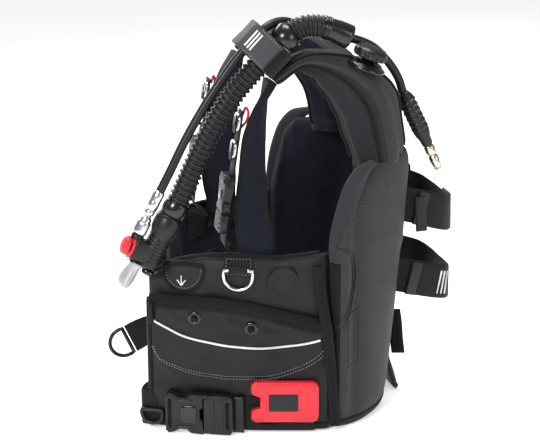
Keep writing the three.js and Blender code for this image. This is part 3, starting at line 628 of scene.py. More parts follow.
# ---- walls --------------------------------------------------------------------------------------
class Wall:
    """A padded wall that follows the plan; its faces crown, and its edges close like a pillow."""

    def __init__(self, plan, span, low, high, outer, inner, relief, square, ends=14):
        self.plan, self.span, self.low, self.high = plan, span, low, high
        self.outer, self.inner, self.relief, self.square, self.ends = outer, inner, relief, square, ends

    def crown(self, s, height):
        v = (height - self.low(s)) / (self.high(s) - self.low(s))
        u = (s - self.span[0]) / (self.span[1] - self.span[0])
        edge = max(0, 1 - abs(2 * v - 1) ** self.square) ** 0.5
        end = max(0, 1 - abs(2 * u - 1) ** self.ends) ** 0.5
        return edge * end

    def outside(self, s, height, lift=0.0):
        middle, half = (self.outer(s) + self.inner(s)) / 2, (self.outer(s) - self.inner(s)) / 2
        fold = self.relief(s, height)
        return self.plan.point(s, height, middle + (half + fold) * self.crown(s, height) + lift)

    def inside(self, s, height):
        middle, half = (self.outer(s) + self.inner(s)) / 2, (self.outer(s) - self.inner(s)) / 2
        fold = 2.4 * ripple(s / 40, height / 45, 9) + 2.2 * ridge(s / 70, height / 50, 12)
        return self.plan.point(s, height, middle - (half + fold) * self.crown(s, height))

    def mesh(self):
        """Closed skin; its second look is the lining inside."""
        steps, rows = 80, 44
        rings = []
        for i in range(steps + 1):
            s = mix(*self.span, spread(i / steps))
            low, high = self.low(s), self.high(s)
            up = [mix(low, high, spread(j / rows)) for j in range(rows + 1)]
            rings.append([self.outside(s, h) for h in up] + [self.inside(s, h) for h in up[-2:0:-1]])
        return loft(rings, caps=False, index_of=lambda j: int(j >= rows))


BAND_SHAPE = ((-0.5, -0.4), (-0.47, 0.8), (-0.25, 1), (0, 1), (0.25, 1), (0.47, 0.8), (0.5, -0.4))


def on_wall(name, wall, route, width, lift, look=BINDING, steps=10):
    """Band of cloth sewn flat on a wall along a route of (distance, height) points."""
    path = Path(spline([(s, h, 0) for s, h in route], steps))
    count = max(3, int(path.length / 4))
    rings = []
    for i in range(count + 1):
        p, run = path.at(path.length * i / count), path.run(path.length * i / count)
        side = Vector((-run.y, run.x, 0))
        ring = []
        for x, rise in BAND_SHAPE:
            q = p + side * (width * x)
            ring.append(wall.outside(q.x, q.y, lift * rise))
        rings.append(ring)
    return piece(name, loft(rings), look)


def line_on(wall, route, lift=0.3, steps=10):
    """Points on a wall along a route of (distance, height) points."""
    path = Path(spline([(s, h, 0) for s, h in route], steps))
    count = max(2, int(path.length / 3))
    return [wall.outside(p.x, p.y, lift) for p in path.even(count)]


def sewn(name, wall, routes, look=THREAD):
    """Rows of stitches on a wall."""
    dashes(name, [(line_on(wall, route), wall.plan.outward(route[0][0])) for route in routes], look)


# ---- one half of the vest -----------------------------------------------------------------------
def lobe_top(plan):
    knots = [(0, -34), (0.13, -9), (0.3, 0), (0.5, 2), (0.7, -3), (1, 8)]
    return lambda s: LOBE_HEIGHT + along(knots, s / plan.knee)


def pocket_top(plan):
    return lambda s: POCKET_HEIGHT + along([(0, 0), (0.5, -1), (1, -33)], s / plan.knee)


def panel_top(plan):
    return lambda s: along([(plan.knee, LOBE_HEIGHT + 10), (plan.knee + 13, 300), (plan.knee + 26, 340),
                            (plan.knee + 44, CREASE_HEIGHT - 2), (plan.length, CREASE_HEIGHT + 10)], s)


def walls_of(plan):
    """Front lobe, cargo pocket and side panel as walls."""
    knee, length = plan.knee, plan.length
    seed = 3 if plan.side > 0 else 17

    def slack(s, h):
        return 2.6 * ripple(s / 42, h / 55, seed) + 1.9 * ridge(s / 70, h / 30, seed + 4) - 0.6

    def pocket_slack(s, h):
        sag = 1.3 * math.sin(math.pi * min(1, max(0, h / POCKET_HEIGHT)))
        creases = 2.2 * ridge(s / 70 + 0.4 * h / 60, h / 30, seed + 2)
        return sag + 2.2 * ripple(s / 40, h / 48, seed + 1) + creases

    def panel_fold(s, h):
        fold = 7 * math.exp(-((s - knee - 15) / 10) ** 2) * ease(h / 60)
        hollow = -5 * math.exp(-((s - knee - 38) / 12) ** 2) * ease(h / 60)
        pull = ease((h - 150) / 120)
        creases = 2.4 * pull * ridge((s - knee) / 90, h / 60 + (s - knee) / 120, seed + 6)
        return fold + hollow + creases + 1.0 * ripple(s / 60, h / 90, seed + 8)

    lobe = Wall(plan, (0, knee - GAP / 2), lambda s: 0, lobe_top(plan), lambda s: LOBE_OUTER,
                lambda s: LOBE_INNER, slack, square=9)
    pocket = Wall(plan, (1, knee - 3), lambda s: 3, pocket_top(plan), lambda s: 0,
                  lambda s: -POCKET_THICKNESS, pocket_slack, square=18, ends=22)
    outer = [(knee, LOBE_OUTER + 8), (knee + 14, 0), (length, 0)]
    inner = [(knee, LOBE_INNER), (knee + 30, -PANEL_THICKNESS), (length, -PANEL_THICKNESS)]
    panel = Wall(plan, (knee + GAP / 2, length), lambda s: 0, panel_top(plan), lambda s: along(outer, s),
                 lambda s: along(inner, s), panel_fold, square=10, ends=20)
    return lobe, pocket, panel


SHOULDER = [
    [(148, 64, CREASE_HEIGHT + 2), (100, 30, CREASE_HEIGHT + 2), (45, 95, CREASE_HEIGHT + 13),
     (94, 124, CREASE_HEIGHT + 12)],
    [(137, 59, 400), (84, 22, 398), (42, 88, 410), (92, 120, 412)],
    [(128, 50, 436), (77, 10, 430), (42, 78, 448), (91, 111, 448)],
    [(122, 28, 466), (78, -8, 458), (46, 54, 482), (94, 84, 480)],
    [(121, -2, 486), (78, -18, 478), (60, 22, 505), (104, 42, 503)],
    [(120, -34, 496), (78, -36, 492), (74, -30, 508), (118, -26, 512)],
    [(118, -68, 474), (78, -68, 474), (78, -77.6, 484.4), (118, -77.6, 484.4)],
]


def mirrored(p, side):
    return Vector((side * p[0], p[1], p[2]))


def shoulder_lines():
    return [Path(spline([row[k] for row in SHOULDER], 16)) for k in range(4)]


def shoulder_section(lines, t):
    """Round-cornered ring at a share t of the way over the shoulder; its points start at corner 0."""
    swell, arc, flat = 5.0, 5, 7
    corners = [line.at(line.length * t) for line in lines]
    middle = sum(corners, Vector()) / 4
    ring = []
    for i, corner in enumerate(corners):
        before, after = corners[i - 1], corners[(i + 1) % 4]
        a, b = corner.lerp(before, 0.3), corner.lerp(after, 0.3)
        for k in range(arc):
            q = k / arc
            ring.append(a.lerp(corner, q).lerp(corner.lerp(b, q), q))
        c = after.lerp(corner, 0.3)
        for k in range(flat):
            q = k / flat
            p = b.lerp(c, q)
            ring.append(p + (p - middle).normalized() * swell * (1.6 if i < 1 else 1)
                        * math.sin(math.pi * q))
    return ring


def shoulder_lobe(side, plan):
    lines = shoulder_lines()
    rings, steps = [], 76
    seed = 30 * plan.side
    for i in range(steps + 1):
        t = i / steps
        ring = shoulder_section(lines, t)
        middle = sum(ring, Vector()) / len(ring)
        close = min(1.0, 0.94 + 2 * t) * min(1.0, 0.75 + 5 * (1 - t))
        bulge = []
        for j, p in enumerate(ring):
            around = 4 * j / len(ring)
            wrinkle = 2.2 * ridge(t * 4 + 0.5 * math.sin(around * 1.4), around * 0.7, seed)
            wrinkle += 1.6 * ripple(t * 5, around * 1.2, seed + 5)
            away = p - middle
            bulge.append(middle + away * close + away.normalized() * (wrinkle - 1.2) * close)
        rings.append([mirrored(p, plan.side) for p in bulge])
    rings.insert(0, [p - Vector((0, 0, 12)) for p in rings[0]])
    count = len(rings[0])

    def part(j):
        share = 4 * j / count
        return 1 if share < 1.1 else (2 if share < 2.1 else 0)

    mesh = loft(rings, index_of=part)
    thing = piece(f"{side}_shoulder", mesh, [SHOULDER_CLOTH, GUSSET, LINING],
                  nodes=[f"{side}_shoulder_lobe"])
    for number, (corner, width) in enumerate(((0, 2.6), (1, 2.4), (3, 2.2))):
        j = int(count * corner / 4 + 2) % count
        line = [ring[j] + (ring[j] - sum(ring, Vector()) / count).normalized() * 0.6 for ring in rings]
        piece(f"{side}_shoulder_binding_{number}", tube([(p, width) for p in line[1:-1]], 10), BINDING)


def shoulder_strap(side, plan):
    """Padded strap from the top of the shoulder down inside the front lobe."""
    seat = LOBE_INNER - GAP - 5.5
    rows = [(98, -74.6, 476.5, 0, 40), (98, -88, 440, -28, 44), (98, -97, 400, -50, 44),
            (101, -101, 350, -62, 44), (107, -103, 300, -78, 46)]
    stations = []
    for x, y, z, angle, width in rows:
        turn = math.radians(angle)
        stations.append((mirrored((x, y, z), plan.side),
                         mirrored((math.cos(turn), math.sin(turn), 0), plan.side), width))
    place = 0.585 * plan.knee
    for height in (262, 212):
        stations.append((plan.point(place, height, seat - 0.4), -plan.forward(place), 46))
    mesh = loft(strap_rings(stations, 11, 3, 0.2))
    pad = piece(f"{side}_strap_pad", mesh, LINING, nodes=[f"{side}_shoulder_strap"])
    for edge, word in HALVES:
        line = [ring[0] if edge < 0 else ring[8] for ring in strap_rings(stations, 11, 6, 0.2)]
        piece(f"{side}_strap_binding_{word}", wire(line[:-1], 2.3), BINDING)
    face = [ring[5] for ring in strap_rings(stations, 11.6, 6, 0.2)]
    dashes(f"{side}_strap_seam", [(face[1:-1], plan.outward(place))])


CHAIN_X = 105
CHAIN_TOP = (CHAIN_X, -116, 440)
CHAIN_END = (CHAIN_X, -129.75, 352.2)
CHAIN_BUCKLE = Vector((CHAIN_X, -139, 328))
CHAIN_TILT = 0.155


def shoulder_chain(side, plan):
    s = plan.side
    across = Vector((s, 0, 0))
    web = [(mirrored(p, s), across, 24) for p in (CHAIN_TOP, CHAIN_END)]
    piece(f"{side}_chain_web", strap(web), WEBBING, nodes=[f"{side}_chain_webbing"])
    down = (Vector(CHAIN_END) - Vector(CHAIN_TOP)).normalized()
    out = Vector((0, -math.cos(CHAIN_TILT), math.sin(CHAIN_TILT)))
    seat = (WEB_THICKNESS + 4) / 2 + GAP
    for level, share in (("upper", 0.18), ("lower", 0.6)):
        centre = Vector(CHAIN_TOP).lerp(Vector(CHAIN_END), share) + out * seat
        line = [mirrored(centre + ACROSS * x - down * y, s) for x, y in rounded(24, 20, 6)]
        piece(f"{side}_{level}_ring", wire(line, 2, closed=True), STEEL,
              nodes=[f"{side}_{level}_link"])
        a = centre + down * 10 + out * 1.6
        tab = [(mirrored(p, s), across, 16) for p in (a - down * 5, a + down * 5)]
        piece(f"{side}_{level}_tab", strap(tab, 2), WEBBING)
    lace = spline([(CHAIN_X - 3, -113.6, 433), (CHAIN_X - 1, -109.2, 443), (CHAIN_X + 2, -106.8, 437),
                   (CHAIN_X + 1, -109.2, 425), (CHAIN_X - 2, -116.3, 416)], 8)
    piece(f"{side}_lace", wire([mirrored(p, s) for p in lace], 1.8), RED,
          nodes=[f"{side}_bungee"])
    chain_buckle(side, plan)


def chain_buckle(side, plan):
    """Side-release buckle of the shoulder, on axes across, outward and down along the webbing."""
    s = plan.side
    down = Vector((0, -math.sin(CHAIN_TILT), -math.cos(CHAIN_TILT)))
    out = Vector((0, -math.cos(CHAIN_TILT), math.sin(CHAIN_TILT)))
    x = Vector((s, 0, 0))
    centre = mirrored(CHAIN_BUCKLE, s)

    def frame_piece(name, outline, offset, thickness, body, nodes=(), lift=0.0, dome=0.6, look=PLASTIC):
        mesh = plate(centre + down * offset + out * lift, (x, down, out), outline, thickness, 1.0, dome)
        return piece(name, mesh, look, body, nodes)

    flank = [(19, -25), (19, -6), (16.5, 0), (14, 6), (14.5, 14), (17, 20), (16, 25), (6, 25)]
    shell = [*flank, (0, 22.5), *((-a, b) for a, b in reversed(flank))]
    frame_piece(f"{side}_clip_body", shell, 0, 11.4, "vest", [f"{side}_shoulder_buckle_socket"])
    frame_piece(f"{side}_clip_bar", rounded(30, 8, 3), -18, 3, "vest", lift=6.2)
    frame_piece(f"{side}_clip_ridge", rounded(16, 14, 4), 2, 2, "vest", lift=6.6, look=GLOSS_BLACK)
    plug = f"{side}_shoulder_buckle_plug"
    fork = [(18, 12), (18, -8), (13, -14), (-13, -14), (-18, -8), (-18, 12), (-14, 14.5), (14, 14.5)]
    frame_piece(f"{side}_clip_plug", fork, 39, 9.2, plug, [plug], lift=0.4, dome=0.3)
    for edge, word in HALVES:
        prong = [(edge * 19, -12), (edge * 16, -14), (edge * 14, 2), (edge * 17, 2)]
        frame_piece(f"{side}_clip_prong_{word}", prong, 24, 7, plug, dome=0.2)
    for row in range(3):
        frame_piece(f"{side}_clip_rung_{row}", rounded(27, 3.4, 1.5), 34 + row * 6.5, 2, plug, lift=5.2)


def anchor_strap(side, plan):
    s = plan.side
    seat = LOBE_INNER - WEB_THICKNESS / 2 - 2.4
    place = 0.36 * plan.knee
    across = -plan.forward(place)
    level = Vector((s, 0, 0))
    stations = [(mirrored((CHAIN_X, -136.2, 301.3), s), level, 30),
                (mirrored((CHAIN_X, -142.4, 256.6), s), level, 30),
                (mirrored((CHAIN_X - 7, -134.5, 246.5), s), Vector((s, -0.4, 0)), 31),
                (plan.point(place, 230, seat - 5.4), across, 35),
                (plan.point(place, 200, seat - 0.6), across, 35)]
    piece(f"{side}_anchor_web", strap(stations, 2.0), WEBBING,
          nodes=[f"{side}_anchor_strap"])


def d_ring(name, centre, axes, width, height, radius, look, body, nodes):
    """Round-wire D ring: straight bar on top, half round below."""
    x, y = (Vector(a) for a in axes)
    half = (width - 2 * radius) / 2
    low = (width / 2) - height + radius
    outline = [(-half, 0), (-half * 0.5, 0), (0, 0), (half * 0.5, 0), (half, 0), (half, low * 0.5),
               (half, low)]
    outline += [(half * math.cos(a), low - half * math.sin(a))
                for a in (math.pi * k / 14 for k in range(1, 14))]
    outline += [(-half, low), (-half, low * 0.5)]
    line = [Vector(centre) + x * px + y * py for px, py in outline]
    return piece(name, wire(line, radius, closed=True, sides=14), look, body, nodes)


def patch(name, wall, s, h, width, height, lift):
    """Webbing sewn on a wall with a box of stitches."""
    on_wall(name, wall, [(s - width / 2, h), (s, h), (s + width / 2, h)], height, lift, WEBBING)
    w, t = width / 2 - 3, height / 2 - 3
    corners = [(s - w, h - t), (s + w, h - t), (s + w, h + t), (s - w, h + t), (s - w, h - t)]
    rows = [(line_on(wall, route, lift + 0.2, 4), wall.plan.outward(s))
            for route in zip(corners, corners[1:])]
    dashes(f"{name}_stitching", rows, PALE_THREAD)


def pocket_details(side, plan, lobe, pocket):
    """Zip, flap, piping and seams of the cargo pocket, and the upper lobe's trim."""
    knee = plan.knee
    top = pocket_top(plan)
    drops = ((0.02, -1), (0.2, -1), (0.4, -2), (0.6, -3), (0.8, -3), (0.97, -2))
    flap = [(knee * t, top(knee * t) + drop) for t, drop in drops]
    on_wall(f"{side}_zip_flap", pocket, flap, 11, 2.4)
    under = [(s, h - 9) for s, h in flap]
    on_wall(f"{side}_zip_tape", pocket, under, 8, 1.0)
    sewn(f"{side}_flap_stitching", pocket,
         [[(s, h + 4.5) for s, h in flap], [(s, h - 5.2) for s, h in flap]])
    if side == "left":
        y_marks = [(-244, 158), (-222, 146), (-201, 136), (-150, 127), (-101, 124), (-60, 128), (-28, 135)]
        piping = [(plan.distance(y), z) for y, z in y_marks]
    else:
        piping = [(knee * t, z) for t, z in ((0.02, 158), (0.2, 138), (0.5, 125), (0.75, 126), (0.93, 135))]
    piece(f"{side}_piping", wire(line_on(pocket, piping, 1.0, 12), 1.5), WHITE)
    sewn(f"{side}_piping_stitching", pocket, [[(s, h - 6) for s, h in piping]])
    # lower edge of the glossy front, a shallow stitched bowl
    bowl = ((0.03, 124), (0.06, 106), (0.2, 90), (0.45, 82), (0.7, 86), (0.9, 108), (0.96, 122))
    arch = [(knee * t, z) for t, z in bowl]
    sewn(f"{side}_arch_stitching", pocket, [arch, [(s + 3, h - 4) for s, h in arch]], PALE_THREAD)
    hem = [(knee * t, 9) for t in (0.02, 0.25, 0.5, 0.75, 0.97)]
    on_wall(f"{side}_pocket_hem", pocket, hem, 12, 1.2)
    slant = [(knee + 3, 8, 1.4), (knee - 1, 60, 1.8), (knee - 5, 110, 2.2), (knee - 9, 150, 1.6),
             (knee - 15, 190, -5), (knee - 20, 236, -7)]
    stations = [(plan.point(s, h, lift), plan.forward(s), 15) for s, h, lift in slant]
    piece(f"{side}_pocket_binding", strap(stations), BINDING)
    rows = [[plan.point(s + shift, h, lift + 1.6) for s, h, lift in slant] for shift in (-4.5, 4.5)]
    dashes(f"{side}_binding_stitching",
           [(Path(spline(row, 8)).even(80), plan.outward(knee)) for row in rows])
    pull = [(plan.point(s, h, lift), plan.forward(s), width) for s, h, lift, width in
            ((8, 182, 3.4, 9), (8, 172, 4.4, 9), (8.5, 162, 4, 10), (9, 152, 3.2, 9))]
    piece(f"{side}_zip_pull", strap(pull, 2.2), WEBBING)
    front = [(5, h) for h in (6, 60, 120, 184)]
    on_wall(f"{side}_pocket_edge", pocket, front, 8, 1.6)
    lobe_line = lobe_top(plan)
    bind = [(knee * t, lobe_line(knee * t) - 1) for t in (0.04, 0.1, 0.2, 0.35, 0.5, 0.65, 0.8, 0.94)]
    line = [lobe.outside(s, h, -6) for s, h in bind]
    piece(f"{side}_lobe_binding", wire(spline(line, 8), 4.2), BINDING)
    sewn(f"{side}_lobe_stitching", lobe, [[(s, h - 11) for s, h in bind]])


def eyelet(name, wall, s, h, nodes):
    centre = wall.outside(s, h, 0.4)
    out = wall.plan.outward(s)
    profile = [(4.2, -1.5), (4.6, 0.6), (5.4, 1.6), (7.2, 1.9), (8.8, 1.2), (9.6, 0.2), (9.8, -1)]
    piece(name, lathe(centre, out, profile, 32), GLOSS_BLACK, nodes=nodes)
    # dark matte disc in the eyelet's hole: painted shade standing in for the hole's depth
    hole_shade = lathe(centre, out, [(0.1, 0.1), (4.4, 0.1), (4.4, -0.6)], 24)
    piece(f"{name}_hole", hole_shade, LOOP)


def upper_lobe_details(side, plan, lobe):
    """Half-moon pocket, ring patch and embossed disc on the upper face of the front lobe."""
    knee = plan.knee
    ring_at = RING_AT * knee
    patch(f"{side}_ring_patch", lobe, ring_at, LOBE_HEIGHT - 11, 40, 26, 1.4)
    centre = plan.point(ring_at, LOBE_HEIGHT - 15, LOBE_OUTER + 2.5 + 0.6)
    d_ring(f"{side}_ring", centre, (plan.forward(ring_at), UP), 44, 32, 2.4, STEEL,
           f"{side}_chest_ring", [f"{side}_chest_ring"])
    loop = []
    for k in range(9):
        angle = math.radians(-100 + 25 * k)
        loop.append((centre + plan.outward(ring_at) * (3.6 * math.sin(angle + 1.57) - 0.2)
                     + UP * (3.4 * math.cos(angle + 1.57) + 0.6), plan.forward(ring_at), 26))
    piece(f"{side}_ring_loop", strap(loop[1:-1], 1.4, 1.2), WEBBING)
    if side == "right":
        return
    middle, half = 0.2 * knee, 0.115 * knee
    moon = []
    for k in range(17):
        angle = math.pi * k / 16
        moon.append((middle - half * math.cos(angle), 232 - 36 * math.sin(angle) ** 0.8))
    on_wall("octopus_pocket_edge", lobe, moon, 4.5, 1.6, steps=4)
    inner = [(mix(middle, s, 0.86), mix(232, h, 0.86)) for s, h in moon]
    sewn("octopus_pocket_stitching", lobe, [inner], PALE_THREAD)
    on_wall("octopus_pocket_top", lobe, [(middle - half, 232), (middle, 235), (middle + half, 233)], 7,
            1.8)
    # plain pull mark: a short stem with a point, stitched in pale thread
    stem = [[(middle - 2, 219), (middle - 2, 207)], [(middle - 8, 213), (middle - 2, 205)],
            [(middle + 4, 213), (middle - 2, 205)]]
    for number, route in enumerate(stem):
        mark = wire(line_on(lobe, route, 0.5, 4), 0.9)
        piece(f"pull_mark_{number}", mark, WHITE)
    disc_at = 0.74 * knee
    disc = lathe(lobe.outside(disc_at, 213, 0.2), plan.outward(disc_at),
                 [(0.1, 1.6), (12, 1.7), (17, 1.3), (18.5, 2), (21, 2), (22.5, 0.8), (23, -1.4)], 48)
    piece("embossed_disc", disc, GLOSSY)


def panel_details(side, plan, panel):
    """Seams, binding and embossed panel of the side panel."""
    knee, length = plan.knee, plan.length
    front = [(knee + 4, h) for h in (8, 60, 120, 180, 240)]
    on_wall(f"{side}_panel_binding", panel, front, 8, 2.0)
    spine = [(knee + 1, 240, 4), (knee + 4, 256, 9), (knee + 11, 285, 13), (knee + 20, 316, 14.5),
             (knee + 31, 344, 14.5), (knee + 46, 364, 12), (knee + 66, 372, 7)]
    path = Path(spline([Vector(row) for row in spine], 10))
    rings = []
    for row in path.even(44):
        away, out = plan.forward(row.x), plan.outward(row.x)
        centre = plan.point(row.x, row.y, along([(knee, LOBE_OUTER), (knee + 16, -4)], row.x))
        tilt = (away * 0.9 - Vector((0, 0, 0.45))).normalized()
        rings.append(circle(centre, tilt, out, row.z, 0.55 * row.z, 22))
    roll = piece(f"{side}_panel_roll", loft(rings), EDGE_CLOTH)
    for edge, word in LEVELS:
        line = [mix(ring[0], ring[11], 0.5 - 0.75 * edge / 2) + plan.outward(knee) * 6 for ring in rings]
        dashes(f"{side}_roll_stitching_{word}", [(line, plan.outward(knee))])
    seam = [(knee + 30, h) for h in (10, 80, 160, 250, 300)]
    sewn(f"{side}_panel_stitching", panel, [seam, [(s + 5, h) for s, h in seam]])
    hem = [(mix(knee + 4, length - 4, t), 8) for t in (0, 0.25, 0.5, 0.75, 1)]
    on_wall(f"{side}_panel_hem", panel, hem, 14, 1.4)
    # embossed upright panel and the curved seam above it
    low_corner, high_corner = (knee + 20, 92), (knee + 44, 168)
    upright = [(low_corner[0], low_corner[1]), (low_corner[0], high_corner[1]), high_corner,
               (high_corner[0], low_corner[1]), low_corner]
    for number, (a, b) in enumerate(zip(upright, upright[1:])):
        on_wall(f"{side}_emboss_{number}", panel, [a, (mix(a[0], b[0], 0.5), mix(a[1], b[1], 0.5)), b],
                2.2, 0.7, BALLISTIC)
    bend = [(knee + 6, 150), (knee + 22, 186), (knee + 30, 226), (knee + 22, 252), (knee + 6, 262)]
    for lift, shift in ((1.1, 0), (0.9, 6)):
        line = line_on(panel, [(s + shift, h) for s, h in bend], lift)
        piece(f"{side}_bend_{shift}", wire(line, 1.1), EDGE_CLOTH)
    rear = [(length - 16, h) for h in (10, 100, 200, 300, 350)]
    sewn(f"{side}_rear_stitching", panel, [rear])


def weight_handle(side, plan):
    """Red forked pull of the weight pocket, with a black pad; it leaves outward."""
    s = HANDLE_AT * plan.knee
    behind = WEB_THICKNESS + GAP if side == "left" else 0
    centre = plan.point(s, 49, 5.5 + behind + GAP)
    run, out, up = plan.forward(s), plan.outward(s), UP
    body = f"{side}_weight_handle"
    w, h = 46, 29
    outline = [(w - 8, h), (0, h), (-w + 6, h), (-w, h - 4), (-w, 13), (-w + 4, 10.5), (-w + 9, 10.5),
               (-w + 12, 8), (-w + 12, -8), (-w + 9, -10.5), (-w + 4, -10.5), (-w, -13), (-w, -h + 4),
               (-w + 6, -h), (0, -h), (w - 8, -h), (w - 2, -h + 3), (w, -h + 9), (w, h - 9), (w - 2, h - 3)]
    grip = plate(centre, (run, up, out), outline, 9.4, 2.2, 0.8)
    piece(f"{side}_handle_grip", grip, RED, body, [body])
    pad = plate(centre + out * 4.9 - run * 2, (run, up, out), rounded(40, 25, 2), 1.6, 0.4, 0.2)
    piece(f"{side}_handle_pad", pad, PLASTIC, body)
    for row in range(3):
        rib = plate(centre + out * 5.2 - run * (30 - 3.6 * row), (run, up, out),
                    rounded(1.6, 40 if row else 24, 0.7), 1.4, 0.4)
        piece(f"{side}_handle_rib_{row}", rib, RED, body)


def half_vest(side, plan):
    """All that is on one side of the wearer."""
    lobe, pocket, panel = walls_of(plan)
    piece(f"{side}_lobe", lobe.mesh(), [NYLON, LINING],
                    nodes=[f"{side}_front_lobe"])
    piece(f"{side}_pocket", pocket.mesh(), [GLOSSY, LINING],
                    nodes=[f"{side}_cargo_pocket"])
    piece(f"{side}_panel", panel.mesh(), [BALLISTIC, LINING],
                    nodes=[f"{side}_side_panel"])
    shoulder_lobe(side, plan)
    shoulder_strap(side, plan)
    shoulder_chain(side, plan)
    anchor_strap(side, plan)
    pocket_details(side, plan, lobe, pocket)
    upper_lobe_details(side, plan, lobe)
    panel_details(side, plan, panel)
    weight_handle(side, plan)
    for word, share, height in (("front", 0.27, 163), ("rear", 0.57, 151)):
        name, nodes = f"{word}_eyelet", [f"{word}_grommet"]
        if side == "right":
            name, nodes = f"right_{name}", ()
        eyelet(name, pocket, share * plan.knee, height, nodes)


# ---- belts --------------------------------------------------------------------------------------
def belt_stations(plan, low, high, steps, height, offset):
    return [(plan.point(mix(low, high, i / steps), height, offset), UP, WEB_WIDTH) for i in range(steps + 1)]


def left_belt(plan):
    """Waist belt, its side-release buckle, keeper and end ring."""
    offset = WEB_THICKNESS / 2 + GAP
    stations = belt_stations(plan, HANDLE_AT * plan.knee + 40, 2, 12, BELT_HEIGHT, offset)
    for s, away in ((-6, 1), (-9, -8), (-9, -24), (-4, -36)):
        stations.append((plan.point(s, BELT_HEIGHT, away), UP, WEB_WIDTH))
    piece("left_belt", strap(stations, WEB_THICKNESS, 3), WEBBING, nodes=["left_waist_belt"])
    s = 0.3 * plan.knee
    centre = plan.point(s, BELT_HEIGHT + 1.5, offset + (WEB_THICKNESS + 15) / 2 + GAP + 0.5)
    run, out, up = plan.forward(s), plan.outward(s), UP

    def part(name, outline, x, thickness, body, nodes=(), lift=0.0, y=0.0, dome=0.8, look=PLASTIC):
        mesh = plate(centre + run * x + out * lift + up * y, (run, up, out), outline, thickness, 1.4, dome)
        return piece(name, mesh, look, body, nodes)

    flank = [(26, 29), (10, 28), (4, 23), (-6, 22.5), (-14, 27), (-22, 29), (-26, 25)]
    shell = [*flank, *((a, -b) for a, b in reversed(flank)), (26, -10), (22, -7), (22, 7), (26, 10)]
    part("belt_clip_body", shell, -21, 13.4, "vest", ["waist_buckle_socket"])
    part("belt_clip_boss", rounded(22, 26, 6), -14, 3, "vest", lift=7.6, look=GLOSS_BLACK)
    for edge, word in LEVELS:
        part(f"belt_clip_bar_{word}", rounded(26, 4, 1.8), -20, 2.4, "vest", lift=7.2, y=edge * 19)
    plug = "waist_buckle_plug"
    fork = [(20, 24), (16, 28), (-12, 28), (-20, 21), (-20, -21), (-12, -28), (16, -28), (20, -24)]
    part("belt_clip_plug", fork, 26, 12.6, plug, [plug])
    for edge, word in LEVELS:
        prong = [(14, edge * 28), (-13, edge * 28.5), (-17, edge * 25), (-14, edge * 22), (12, edge * 22)]
        part(f"belt_clip_prong_{word}", prong, 0, 9, plug)
    for row in range(2):
        part(f"belt_clip_rung_{row}", rounded(4, 46, 1.8), 19 + 12 * row, 2.4, plug, lift=6.8)
    # dark matte plates on both buckle ends: painted shade standing in for the open slots of the frame
    part("belt_clip_slot_shade_front", rounded(5, 42, 1.5), -41, 1, "vest", lift=6.9, dome=0.1, look=LOOP)
    part("belt_clip_slot_shade_rear", rounded(5, 40, 1.5), 39, 1, plug, lift=6.6, dome=0.1, look=LOOP)
    # folded belt tail held by a keeper beside the buckle
    keeper_at = plan.point(0.5 * plan.knee, BELT_HEIGHT, offset + 3.4)
    around = [(keeper_at + out * lift + up * rise, run, 16)
              for lift, rise in ((1.2, 26), (2, 24), (2, 0), (2, -24), (1.2, -26))]
    piece("belt_keeper", strap(around, 2), RUBBER)
    ring_at = plan.point(9, 27, offset + WEB_THICKNESS / 2 + 3.6)
    d_ring("left_belt_d", ring_at, (plan.forward(9), up), 36, 25, 2.9, PLASTIC, "left_belt_ring",
           ["left_belt_ring"])


def right_belt(plan):
    offset = WEB_THICKNESS / 2 + GAP
    stations = belt_stations(plan, 0.42 * plan.knee, 0, 8, 80, offset)
    end = plan.point(0, 0, offset)
    for x, y, z in ((-5, -7, 80), (-8, -22, 77), (-9, -40, 69)):
        stations.append((Vector((end.x - x, end.y + y, z)), Vector((0, 0.25, 1)), WEB_WIDTH - 4))
    piece("right_belt", strap(stations, WEB_THICKNESS, 3), WEBBING, nodes=["right_waist_belt"])
    centre = Vector((end.x + 9.2, end.y - 43.7, 67.3))
    d_ring("right_belt_d", centre, (Vector((0, -0.41, 0.912)), Vector((0, 0.912, 0.41))), 48, 33, 2.9,
           PLASTIC, "right_belt_ring", ["right_belt_ring"])


# ---- back ---------------------------------------------------------------------------------------
def plate_rear(height):
    return 88 + BACK_LEAN * (height - LEAN_START)


def leaning_slab(half, low, high, front, rear, relief):
    """Padded slab between two leaning faces."""
    columns, rows, square = 36, 44, 10
    rings = []
    for i in range(rows + 1):
        v = spread(i / rows)
        z = mix(low, high, v)
        close = max(0, 1 - abs(2 * v - 1) ** square) ** 0.5
        middle, thick = (front(z) + rear(z)) / 2, (rear(z) - front(z)) / 2
        xs = [-half + 2 * half * (0.6 * j / columns + 0.4 * (0.5 - 0.5 * math.cos(math.pi * j / columns)))
              for j in range(columns + 1)]

        def at(x, face):
            edge = max(0, 1 - abs(x / half) ** square) ** 0.5 * close
            return Vector((x, middle + face * (thick * edge + relief(x, z) * edge), z))
        rings.append([at(x, -1) for x in xs] + [at(x, 1) for x in xs[-2:0:-1]])
    return loft(rings, caps=False)


